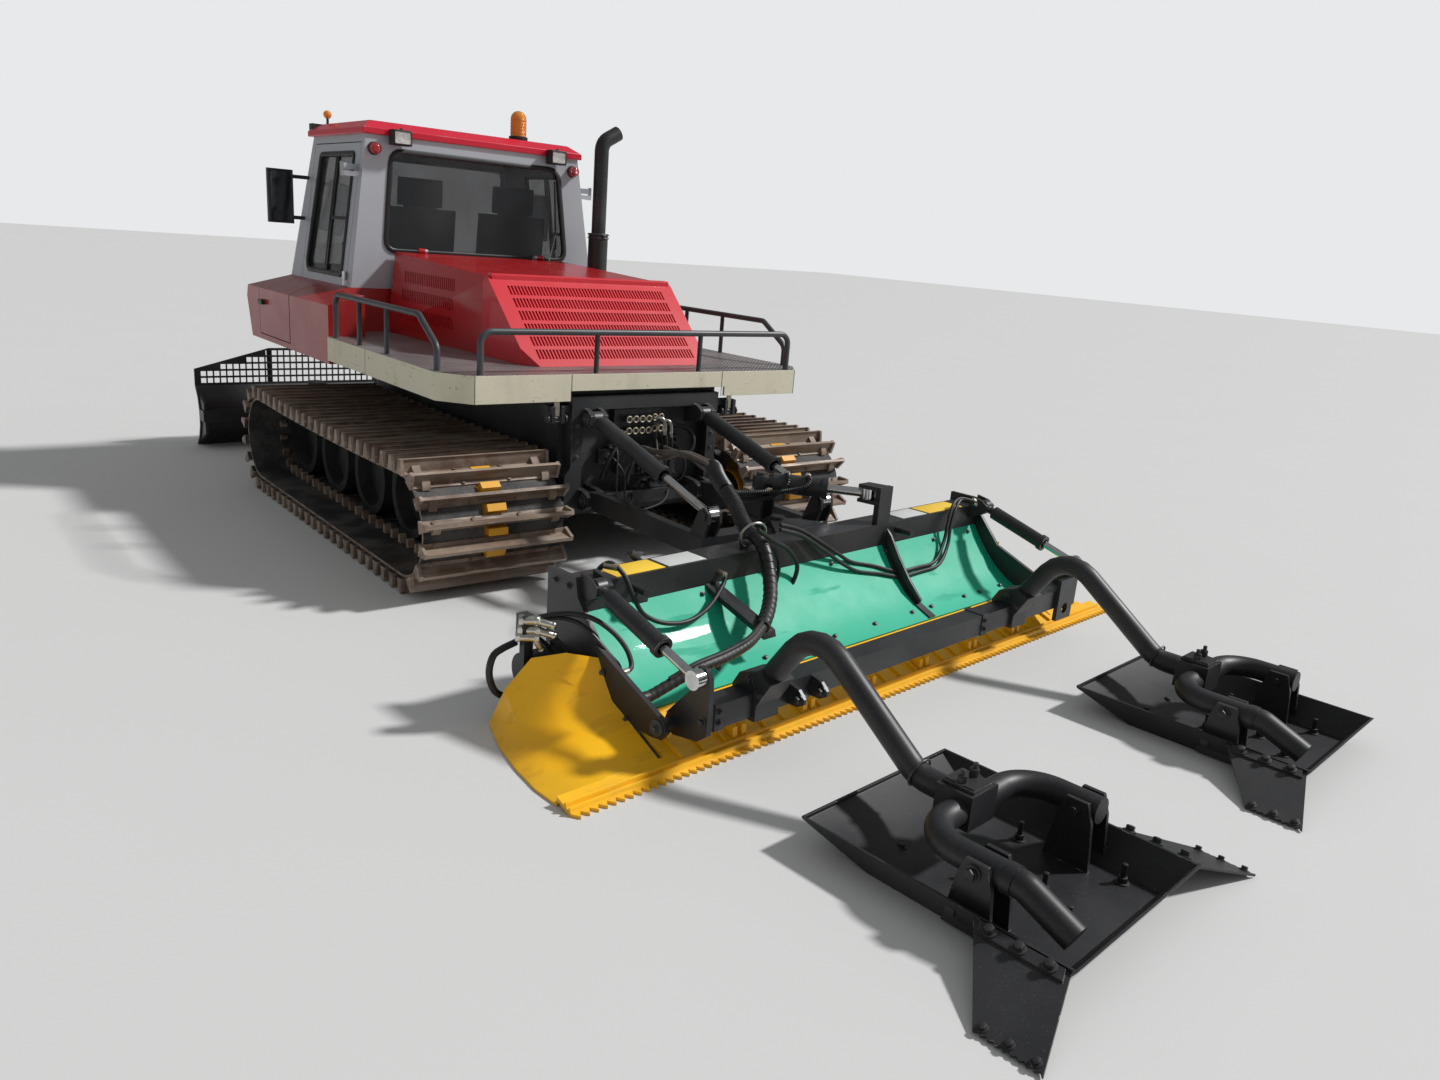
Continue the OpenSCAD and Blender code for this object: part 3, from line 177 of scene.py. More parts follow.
seen = level_step("MAXIMUM", path.outputs["Is Camera Ray"], path.outputs["Is Transmission Ray"])
shed = level_step("MULTIPLY_ADD", seen, 1 - FILL, FILL)
level = level_step("MULTIPLY_ADD", path.outputs["Is Glossy Ray"], MIRRORED - FILL, shed)
tree.links.new(level, tree.nodes["Background"].inputs["Strength"])
tree.nodes["Background"].inputs["Color"].default_value = (*ROOM, 1)
bpy.context.scene.view_settings.view_transform = "Standard"
print("room: fill", FILL, "mirrored", MIRRORED, "seen 1")

# %% [markdown]
# ## Shader maths as plain sums
#
# A finish is a sum of patterns: noise for dirt, a band for a tide line, a mask for worn edges.
# Wiring Math nodes by hand hides that sum. This small class wraps a socket so that + - * /
# build the nodes, and every other node comes from one method.


# %% A socket that can be added and multiplied
class Field:
    """A number that changes over a surface, held as the output socket of a node."""

    def __init__(self, paint, socket):
        self.paint, self.socket = paint, socket

    def math(self, operation, first, second):
        return self.paint.node("Math", {"operation": operation}, {0: first, 1: second})

    def __add__(self, other):
        return self.math("ADD", self, other)

    def __sub__(self, other):
        return self.math("SUBTRACT", self, other)

    def __rsub__(self, other):
        return self.math("SUBTRACT", other, self)

    def __mul__(self, other):
        return self.math("MULTIPLY", self, other)

    __radd__ = __add__
    __rmul__ = __mul__

    def above(self, low, high):
        """0 below low, 1 above high, and a smooth rise between them."""
        rise = {1: low, 2: high}
        return self.paint.node("MapRange", {"interpolation_type": "SMOOTHSTEP"}, {0: self, **rise})


# %% A material under construction
class Paint:
    """One material: node() adds a node, and the shader's inputs take numbers, colours or fields."""

    def __init__(self, name):
        self.material = bpy.data.materials.new(name)
        self.material.use_nodes = True
        self.tree = self.material.node_tree
        self.shader = self.tree.nodes["Principled BSDF"]
        self.place = self.node("TexCoord", output="Object")

    def node(self, kind, settings=None, inputs=None, output=0):
        made = self.tree.nodes.new("ShaderNode" + kind)
        for key, value in (settings or {}).items():
            setattr(made, key, value)
        for key, value in (inputs or {}).items():
            self.put(made.inputs[key], value)
        return Field(self, made.outputs[output])

    def put(self, socket, value):
        if isinstance(value, Field):
            self.tree.links.new(value.socket, socket)
        elif isinstance(value, tuple) and len(value) == 3 and socket.type == "RGBA":
            socket.default_value = (*value, 1)
        else:
            socket.default_value = value

    def noise(self, scale, detail=4.0, stretch=(1, 1, 1), rough=0.55):
        """Cloudy noise from 0 to 1, scale in turns to the metre, squeezed by stretch."""
        where = self.node("Mapping", None, {0: self.place, "Scale": stretch})
        inputs = {"Vector": where, "Scale": scale, "Detail": detail, "Roughness": rough}
        return self.node("TexNoise", None, inputs)

    def mix(self, mask, low, high):
        """Colour low where mask is 0 and high where it is 1."""
        made = self.tree.nodes.new("ShaderNodeMix")
        made.data_type = "RGBA"
        for socket, value in ((made.inputs[0], mask), (made.inputs[6], low), (made.inputs[7], high)):
            self.put(socket, value)
        return Field(self, made.outputs[2])

    def axis(self, name):
        """The X, Y or Z of the point, in metres."""
        return self.node("SeparateXYZ", None, {0: self.place}, output=name)

    def attribute(self, name):
        """A number that the piece's own points carry."""
        return self.node("Attribute", {"attribute_name": name}, output="Fac")

    def bump(self, height, distance, strength=1.0):
        """Tilts the shading as if the surface rose by height times distance, in metres."""
        inputs = {"Height": height, "Distance": distance, "Strength": strength}
        self.put(self.shader.inputs["Normal"], self.node("Bump", None, inputs))

    def set(self, **values):
        """Gives inputs of the shader their values, each by its name in lower case."""
        for key, value in values.items():
            self.put(self.shader.inputs[key.replace("_", " ").title()], value)
        return self

    def gloss(self, metallic=0.0, coat=0.0, ior=1.5):
        """Metal, clear coat and refraction that are the same all over."""
        self.shader.inputs["Metallic"].default_value = metallic
        self.shader.inputs["Coat Weight"].default_value = coat
        self.shader.inputs["IOR"].default_value = ior
        return self

# %% [markdown]
# ## Paints and plastics
#
# Each finish gets the few marks that tell its age: chipped corners on black steel, tide marks on
# the cream skirts, scuffs on the yellow plastic. The mask called worn is an attribute that the
# dressed pieces carry, 1 along the middle of each rounded edge. Multiplied by noise it leaves
# bare metal only here and there, where a real edge has been knocked.


# %% Black and grey painted steel
def steel_paint(name, colour, rough, chips, bare=(0.42, 0.40, 0.37), dust=0.25):
    """Painted steel with chipped edges, brush marks in the gloss and a veil of dust."""
    p = Paint(name)
    chip = (p.attribute("worn") * p.noise(22, 5).above(0.50 - chips, 0.62 - chips)).above(0.30, 0.55)
    cloud = p.noise(2.3, 4).above(0.35, 0.75)
    speck = p.noise(160, 2).above(0.62, 0.72)
    dusty = tuple(c * (1 - dust * 0.4) + 0.30 * dust * 0.4 for c in colour)
    base = p.mix(cloud * 0.8, colour, dusty)
    base = p.mix(speck * dust * 0.5, base, (0.34, 0.31, 0.27))
    base = p.mix(chip, base, bare)
    p.set(base_color=base, roughness=p.noise(9, 3) * 0.16 + (rough - 0.08) + chip * 0.08)
    p.set(metallic=chip * 0.7)
    p.bump(p.noise(420, 2) * 0.5 - chip * 0.6, 0.0004)
    return p.material


TOOL_BLACK = (0.016, 0.017, 0.019)
tool_black = steel_paint("tool_black", TOOL_BLACK, 0.40, 0.03)
hull_black = steel_paint("hull_black", (0.014, 0.014, 0.015), 0.55, 0.0, dust=0.5)
rail_grey = steel_paint("rail_grey", (0.045, 0.047, 0.052), 0.42, 0.06)
pan_black = steel_paint("pan_black", (0.012, 0.0125, 0.0145), 0.47, -0.04, dust=0.2)
exhaust_black = steel_paint("exhaust_black", (0.013, 0.013, 0.013), 0.50, 0.0, dust=0.4)


# %% Red and silver bodywork
def body_paint(name, colour, faded, rough=0.27, flake=0.0):
    """Gloss paint that has faded in clouds and gathered dust low down, with fine streaks."""
    p = Paint(name)
    fade = p.noise(1.7, 5).above(0.35, 0.72)
    streak = p.noise(7, 4, (1, 1, 0.12)).above(0.52, 0.80)
    low = 1 - p.axis("Z").above(0.95, 1.45)
    base = p.mix(fade * 0.55, colour, faded)
    base = p.mix(streak * 0.06 + low * p.noise(14, 5) * 0.12, base, (0.20, 0.15, 0.12))
    base = p.mix(p.attribute("worn") * p.noise(30, 4).above(0.56, 0.64) * 0.7, base, (0.25, 0.20, 0.18))
    p.set(base_color=base, roughness=p.noise(5, 4) * 0.18 + low * 0.10 + (rough - 0.09))
    p.bump(p.noise(2.6, 2) * 0.7 + p.noise(190, 2) * 0.02, 0.004)
    return p.gloss(metallic=flake, coat=0.18).material


cab_red = body_paint("cab_red", (0.30, 0.004, 0.006), (0.36, 0.012, 0.010))
hood_red = body_paint("hood_red", (0.40, 0.004, 0.008), (0.46, 0.012, 0.012), 0.26)
grille_red = body_paint("grille_red", (0.60, 0.008, 0.022), (0.64, 0.03, 0.04), 0.38)
cab_silver = body_paint("cab_silver", (0.46, 0.48, 0.52), (0.50, 0.51, 0.54), 0.36, 0.25)
roof_red = body_paint("roof_red", (0.58, 0.006, 0.032), (0.62, 0.02, 0.04), 0.32)


# %% Cream skirts and the tread plate on top
def deck_finish():
    """Cream paint with scratches and rust freckles on the sides, bare tread plate on top."""
    p = Paint("deck_cream")
    x, y, z = (p.axis(a) for a in "XYZ")
    facing = p.node("SeparateXYZ", None, {0: p.node("NewGeometry", output="Normal")}, output="Z")
    top = facing.above(0.5, 0.8)
    stain = p.noise(5.5, 7, (1, 1, 0.35)).above(0.50, 0.74)
    rust = p.noise(34, 5).above(0.64, 0.70)
    scratch = p.noise(26, 3, (0.25, 0.25, 4)).above(0.66, 0.70)
    side = p.mix(stain * 0.5, (0.66, 0.62, 0.47), (0.42, 0.38, 0.28))
    side = p.mix(rust * 0.6, side, (0.20, 0.10, 0.045))
    side = p.mix(scratch * 0.5, side, (0.12, 0.11, 0.10))
    turns = 2 * math.pi / 0.052
    wave_a = p.node("Math", {"operation": "SINE"}, {0: (x + y) * turns})
    wave_b = p.node("Math", {"operation": "SINE"}, {0: (x - y) * turns})
    stud = ((wave_a * wave_b) * (wave_a * wave_b)).above(0.42, 0.70)
    dirt = p.noise(3.4, 6).above(0.40, 0.68)
    plate = p.mix(dirt * 0.6, (0.24, 0.225, 0.225), (0.15, 0.115, 0.11))
    plate = p.mix(stud * 0.85, plate, (0.62, 0.60, 0.60))
    p.set(base_color=p.mix(top, side, plate))
    p.set(metallic=top * (1 - dirt * 0.7) * 0.75, roughness=top * -0.16 + p.noise(12, 4) * 0.2 + 0.46)
    p.bump(stud * top + p.noise(60, 4) * 0.12, 0.0016)
    return p.material


deck_cream = deck_finish()


# %% Moulded plastics
def moulded(name, colour, pale, rough, ground_dirt):
    """Moulded plastic: milky clouds, long scuffs, fine grain and dirt near the ground."""
    p = Paint(name)
    cloud = p.noise(3.1, 4).above(0.36, 0.70)
    scuff = p.noise(13, 4, (0.15, 1, 1)).above(0.60, 0.68)
    nick = p.noise(75, 3).above(0.68, 0.72)
    low = 1 - p.axis("Z").above(0.0, 0.09)
    base = p.mix(cloud * 0.5, colour, pale)
    base = p.mix(scuff * 0.22 + nick * 0.20, base, tuple(c * 0.45 for c in colour))
    base = p.mix(low * p.noise(18, 5) * ground_dirt, base, (0.24, 0.15, 0.05))
    base = p.mix(p.attribute("worn") * 0.35, base, pale)
    p.set(base_color=base, roughness=p.noise(8, 4) * 0.16 + (rough - 0.08) + scuff * 0.12)
    p.bump(p.noise(6, 3) * 0.6 + p.noise(300, 2) * 0.05 - scuff * 0.10, 0.0025)
    return p.gloss(coat=0.04).material


comb_yellow = moulded("comb_yellow", (0.97, 0.49, 0.001), (0.98, 0.55, 0.01), 0.40, 0.35)
cover_teal = moulded("cover_teal", (0.002, 0.42, 0.25), (0.010, 0.47, 0.30), 0.56, 0.2)
tooth_yellow = moulded("tooth_yellow", (0.74, 0.34, 0.01), (0.80, 0.44, 0.04), 0.50, 0.5)
lamp_black = moulded("lamp_black", (0.012, 0.012, 0.013), (0.03, 0.03, 0.03), 0.45, 0.0)


# %% Track belts and shoes
def track_finish():
    """Rusty, dusty steel bars on dull rubber: the two differ by their distance from the belt."""
    p = Paint("track_brown")
    rust = p.noise(7, 6, (0.2, 1, 1)).above(0.38, 0.66)
    bare = p.noise(24, 5, (0.12, 1, 1)).above(0.50, 0.66)
    mud = p.noise(11, 6).above(0.46, 0.66)
    steel = p.mix(rust, (0.27, 0.20, 0.15), (0.15, 0.095, 0.068))
    steel = p.mix(bare * 0.65, steel, (0.50, 0.43, 0.36))
    steel = p.mix(mud * 0.45, steel, (0.36, 0.29, 0.23))
    steel = p.mix(p.attribute("worn") * p.noise(20, 3).above(0.35, 0.55), steel, (0.52, 0.45, 0.38))
    p.set(base_color=steel, metallic=bare * 0.45, roughness=p.noise(15, 4) * 0.25 + 0.45)
    p.bump(p.noise(130, 5) * 0.5 + p.noise(20, 3), 0.0014)
    return p.material


def rubber_finish(name, colour, dust_colour, dust, rough=0.7):
    """Dull rubber, dusty in clouds and in the grain."""
    p = Paint(name)
    cloud = p.noise(6, 6).above(0.36, 0.68)
    grain = p.noise(95, 4).above(0.48, 0.66)
    p.set(base_color=p.mix(cloud * dust + grain * dust * 0.4, colour, dust_colour))
    p.set(roughness=cloud * 0.15 + rough)
    p.bump(p.noise(210, 3) * 0.4 + p.noise(30, 3), 0.0008)
    return p.material


track_brown = track_finish()
belt_rubber = rubber_finish("belt_rubber", (0.018, 0.018, 0.019), (0.17, 0.155, 0.14), 0.45)
wheel_black = rubber_finish("wheel_black", (0.012, 0.012, 0.013), (0.07, 0.065, 0.06), 0.35)
hose_black = rubber_finish("hose_black", (0.010, 0.010, 0.011), (0.06, 0.055, 0.05), 0.25, 0.42)
seat_black = rubber_finish("seat_black", (0.020, 0.019, 0.020), (0.045, 0.042, 0.04), 0.3, 0.85)


# %% Bright metals and the engine
def bright_metal(name, colour, rough, grain, streaks=(1, 1, 1)):
    """Bare metal with drawn streaks and a few oily clouds."""
    p = Paint(name)
    cloud = p.noise(9, 4).above(0.45, 0.75)
    p.set(base_color=p.mix(cloud * 0.6, colour, tuple(c * 0.6 for c in colour)))
    p.set(roughness=p.noise(grain, 3, streaks) * 0.15 + cloud * 0.10 + rough)
    p.bump(p.noise(grain * 3, 2, streaks) * 0.3, 0.0003)
    return p.gloss(metallic=1.0).material


rod_chrome = bright_metal("rod_chrome", (0.72, 0.72, 0.72), 0.06, 60)
engine_dark = steel_paint("engine_dark", (0.03, 0.03, 0.032), 0.6, 0.04, dust=0.6)


# %% Glass and lenses
def clear_glass(name, colour, alpha):
    """Dark glazing: thin, half see-through, with a clean mirror gloss and faint dust in clouds."""
    p = Paint(name)
    smear = p.noise(2.2, 5).above(0.42, 0.78)
    p.set(base_color=p.mix(smear * 0.4, colour, (0.10, 0.10, 0.10)), roughness=smear * 0.05 + 0.03)
    p.set(alpha=smear * 0.10 + alpha)
    p.shader.inputs["Specular IOR Level"].default_value = 0.9
    return p.gloss(coat=0.6, ior=1.52).material


def lens_plastic(name, colour, glow):
    """Ribbed translucent plastic over a reflector."""
    p = Paint(name)
    rib = p.node("Math", {"operation": "SINE"}, {0: p.axis("Z") * 1100})
    p.set(base_color=p.mix(rib * 0.25 + 0.4, colour, glow), roughness=0.16)
    p.bump(rib, 0.0006)
    return p.gloss(coat=0.8).material


cab_glass = clear_glass("cab_glass", (0.020, 0.024, 0.026), 0.45)
signal_red = lens_plastic("signal_red", (0.28, 0.006, 0.012), (0.55, 0.03, 0.04))
amber = lens_plastic("amber", (0.70, 0.19, 0.004), (0.90, 0.34, 0.02))
print("finishes:", len(bpy.data.materials))

# %% [markdown]
# ## Dressing a solid
#
# The frame's solids have knife-sharp edges, and a real plate never has. Changing the frame's own
# mesh isn't allowed, so each piece is a copy: its triangles are merged, flat neighbours are
# joined, and its sharp edges are rounded by a small bevel of two steps. The vertices in the middle
# of a bevel are the ones that a knock would reach, so they get worn = 1 and all others 0.


# %% Round a mesh's edges, and make it an object
DRESS_SHARP, DRESS_CREASE = math.radians(28), math.radians(50)
KIT_SHARP, KIT_CREASE = 0.6, math.radians(35)


def round_edges(bm, size, sharp):
    """Bevel of two steps where faces meet past sharp radians, with worn = 1 along its middle."""
    layer = bm.verts.layers.float.new("worn")
    if not size:
        return
    edges = [e for e in bm.edges if len(e.link_faces) == 2 and e.calc_face_angle(0) > sharp]
    made = bmesh.ops.bevel(
        bm, geom=edges, offset=size, segments=2, profile=0.5, affect="EDGES", clamp_overlap=True
    )
    new = set(made["faces"])
    for vert in made["verts"]:
        if all(face in new for face in vert.link_faces):
            vert[layer] = 1.0


def stand(bm, name, crease, paints):
    """Object with the mesh of bm, shaded smooth but for edges past crease radians."""
    mesh = bpy.data.meshes.new(name)
    bm.to_mesh(mesh)
    bm.free()
    mesh.polygons.foreach_set("use_smooth", np.ones(len(mesh.polygons), bool))
    mesh.set_sharp_from_angle(angle=crease)
    for paint in paints:
        mesh.materials.append(paint)
    piece = bpy.data.objects.new(name, mesh)
    bpy.context.scene.collection.objects.link(piece)
    return piece


# %% Copy a node and dress it
WELD = 2e-5
FLAT = math.radians(0.6)


def dress(node, paint, slot, rounding, extra=(), pick=None):
    """The node's mesh with its edges rounded by that many metres, in its paint.

    extra holds more paints, and pick tells from a face's middle which of them all it gets."""
    bm = bmesh.new()
    bm.from_mesh(frame["nodes"][node].data)
    bmesh.ops.remove_doubles(bm, verts=bm.verts, dist=WELD)
    bmesh.ops.dissolve_degenerate(bm, edges=bm.edges, dist=WELD)
    bmesh.ops.dissolve_limit(bm, angle_limit=FLAT, verts=bm.verts, edges=bm.edges)
    round_edges(bm, rounding, DRESS_SHARP)
    piece = stand(bm, "dressed_" + node, DRESS_CREASE, (paint, *extra))
    if pick:
        for face in piece.data.polygons:
            face.material_index = pick(face.center)
    weigh = piece.modifiers.new("weigh", "WEIGHTED_NORMAL")
    weigh.keep_sharp = True
    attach(piece, frame["nodes"][node]["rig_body"])
    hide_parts(node)
    return piece


# %% [markdown]
# ## Which finish goes where
#
# One table names the finish and the rounding of every node but the three hose nodes, which are made
# anew further down. So a change of mind about a finish is a change of one word.

# %% Finish of the nodes
# Columns: node, material, slot of the record, rounding in millimetres
FINISH = [
    ("hull_frame", hull_black, "hull_black", 3),
    ("rear_portal", tool_black, "tool_black", 3),
    ("coupler_bank", tool_black, "coupler_steel", 1),
    ("deck", deck_cream, "deck_cream", 2),
    ("deck_rails", rail_grey, "rail_grey", 0),
    ("track_left", track_brown, "track_brown", 1.2),
    ("track_right", track_brown, "track_brown", 1.2),
    ("wheels_left", wheel_black, "wheel_black", 3),
    ("wheels_right", wheel_black, "wheel_black", 3),
    ("sprocket_left", tooth_yellow, "tooth_yellow", 5),
    ("sprocket_right", tooth_yellow, "tooth_yellow", 5),
    ("cab_lower", cab_red, "cab_red", 4),
    ("cab_upper", cab_silver, "cab_silver", 5),
    ("cab_roof", roof_red, "cab_red", 7),
    ("cab_glass", cab_glass, "cab_glass", 0),
    ("seats", seat_black, "seat_black", 14),
    ("console", lamp_black, "lamp_black", 5),
    ("engine_block", engine_dark, "engine_dark", 5),
    ("exhaust_stack", exhaust_black, "exhaust_black", 1),
    ("work_lamps", lamp_black, "lamp_black", 4),
    ("signal_lamps", amber, "signal_red", 1),
    ("mirrors", lamp_black, "lamp_black", 6),
    ("front_mount", hull_black, "hull_black", 3),
    ("hood", hood_red, "hood_red", 6),
    ("grille", grille_red, "grille_red", 1.5),
    ("door_left", cab_red, "cab_red", 4),
    ("door_right", cab_red, "cab_red", 4),
    ("glass_left", cab_glass, "cab_glass", 0),
    ("glass_right", cab_glass, "cab_glass", 0),
    ("blade_frame", tool_black, "tool_black", 3),
    ("blade", tool_black, "tool_black", 2),
    ("blade_screen", tool_black, "tool_black", 1),
    ("blade_barrels", tool_black, "tool_black", 2),
    ("blade_rods", rod_chrome, "rod_chrome", 1),
    ("angle_barrel", tool_black, "tool_black", 2),
    ("angle_rod", rod_chrome, "rod_chrome", 1),
    ("rear_lift", tool_black, "tool_black", 3),
    ("lift_barrels", tool_black, "tool_black", 2),
    ("lift_rods", rod_chrome, "rod_chrome", 1),
    ("swing_barrel", tool_black, "tool_black", 2),
    ("swing_rod", rod_chrome, "rod_chrome", 1),
    ("tool_beam", tool_black, "tool_black", 2.5),
    ("tiller_cover", cover_teal, "cover_teal", 1.5),
    ("comb", comb_yellow, "comb_yellow", 1.5),
    ("end_bowls", comb_yellow, "comb_yellow", 1.5),
    ("rotor", engine_dark, "rotor_steel", 2),
    ("setter_barrels", tool_black, "tool_black", 2),
    ("setter_rods", rod_chrome, "rod_chrome", 1),
    ("setter_bar", tool_black, "tool_black", 3),
    ("tow_tubes", pan_black, "tool_black", 1),
    ("pan_left", pan_black, "pan_black", 2),
    ("pan_right", pan_black, "pan_black", 2),
]

# %% [markdown]
# ## Nodes with more than one finish
#
# A lamp has a black foot and a door has a silver upper half, though each is one node. We could
# paint a map, but a face knows where its middle is, so a few limits sort the faces.

# %% Sort faces by their place
MM = 0.001
# How far a belt reaches in and out of its loop, in millimetres, and the limits in metres
BELT_IN, BELT_OUT = -14, 7.6
WALL_LAMP_TOP, BEACON_FOOT_TOP = 2.25, 2.3105
POST_X, POST_HALF, POST_TOP = -0.668, 0.02, 2.322
HINGE_X, HINGE_Y, DOOR_HINGE_R, CAB_HINGE_R = 0.868, 2.092, 0.017, 0.0165
DOOR_RED_TOP, HINGE_LOW, HANDLE_X = 1.301, 1.3, 1.1405


def track_part(middle):
    """0 for a shoe and 1 for a belt, by the distance from the loop that the belts follow."""
    y, z = middle.y / MM - SHIFT.y / MM, middle.z / MM - TRACK_Z
    along = min(max(y, TRACK_REAR), TRACK_FRONT)
    off = math.hypot(y - along, z) - BELT_RADIUS
    return 1 if BELT_IN < off < BELT_OUT else 0


def lamp_part(middle):
    """0 amber, 1 red and 2 black: lamps on the rear wall, beacon base and bracket."""
    if middle.z < WALL_LAMP_TOP:
        return 1
    post = abs(middle.x - SHIFT.x - POST_X) < POST_HALF and middle.z < POST_TOP
    return 2 if middle.z < BEACON_FOOT_TOP or post else 0


def from_hinge(middle):
    """Distance of the point from the line through the door's hinge pins."""
    return math.hypot(abs(middle.x - SHIFT.x) - HINGE_X, middle.y - SHIFT.y - HINGE_Y)


def door_part(middle):
    """0 red skin, 1 silver frame, 2 bright hinge and 3 black handle."""
    if from_hinge(middle) < DOOR_HINGE_R and middle.z > HINGE_LOW:
        return 2
    if abs(middle.x - SHIFT.x) > HANDLE_X:
        return 3
    return 1 if middle.z > DOOR_RED_TOP else 0


def upper_part(middle):
    """0 silver shell and 1 bright hinge halves."""
    return 1 if from_hinge(middle) < CAB_HINGE_R else 0


# %% Dress the nodes
TRACK_PARTS = ((belt_rubber,), track_part)
DOOR_PARTS = ((cab_silver, rod_chrome, lamp_black), door_part)
PARTS = {
    "track_left": TRACK_PARTS,
    "track_right": TRACK_PARTS,
    "signal_lamps": ((signal_red, lamp_black), lamp_part),
    "door_left": DOOR_PARTS,
    "door_right": DOOR_PARTS,
    "cab_upper": ((rod_chrome,), upper_part),
}
for node, paint, slot, size in FINISH:
    dress(node, paint, slot, size * MM, *PARTS.get(node, ()))
print("dressed", len(FINISH), "of", len(frame["nodes"]))

# %% [markdown]
# ## A kit for small parts
#
# Bolts, seals, lamps and hoses are what a solid model leaves out. A kit gathers any number of
# them as plain solids, in millimetres on one of the two grids, and then becomes a single piece that
# rides on a body. One piece of a hundred bolts is much lighter than a hundred pieces.
#
# A hose is a tube swept along a smooth curve through a few points. Its radius may change with the
# distance s along the hose and with the angle a round it: `r + h * cos(2 * pi * s / p)` is a
# corrugated hose, and with `s / p + a / (2 * pi)` the ridges climb like a thread, which makes a
# spiral wrap of the same line.


# %% Curves
def smooth_route(route, step, closed=False):
    """Points about one step apart on a smooth curve through all the points of the route.

    Between points b and c, with a before and d after, a cubic in f leaves b towards c - a and
    reaches c towards d - b. Fine points on it are then read off at equal distances."""
    p = np.array(route, float)
    before = p[-1:] if closed else 2 * p[:1] - p[1:2]
    after = p[:2] if closed else 2 * p[-1:] - p[-2:-1]
    chain = np.vstack([before, p, after])
    a, b, c, d = (chain[i:len(chain) - 3 + i, None] for i in range(4))
    f = np.linspace(0, 1, 20, endpoint=False)[:, None]
    spans = 0.5 * (
        2 * b + (c - a) * f + (2 * a - 5 * b + 4 * c - d) * f**2 + (3 * b - a - 3 * c + d) * f**3
    )
    fine = np.vstack([spans.reshape(-1, 3), p[:1] if closed else p[-1:]])
    run = np.concatenate([[0], np.cumsum(np.linalg.norm(np.diff(fine, axis=0), axis=1))])
    where = np.linspace(0, run[-1], max(3, round(run[-1] / step)) + 1)
    out = np.stack([np.interp(where, run, fine[:, i]) for i in range(3)], 1)
    return out[:-1] if closed else out


def rounded(corners, radius, steps=4):
    """The closed outline with round corners: a (1 - f)^2 + 2 corner f (1 - f) + b f^2.

    a and b lie radius before and after the corner, and f runs from 0 to 1."""
    here = np.array(corners, float)
    ends = []
    for other in (np.roll(here, 1, 0), np.roll(here, -1, 0)):
        way = other - here
        ends.append((here + way * radius / np.linalg.norm(way, axis=1, keepdims=True))[:, None])
    f = np.linspace(0, 1, steps + 1)[:, None]
    arcs = ends[0] * (1 - f) ** 2 + 2 * here[:, None] * f * (1 - f) + ends[1] * f * f
    return arcs.reshape(-1, 3)


def oblong(x0, x1, y, z0, z1):
    """Corners of an upright rectangle that faces the front or the rear."""
    return [(x0, y, z0), (x1, y, z0), (x1, y, z1), (x0, y, z1)]


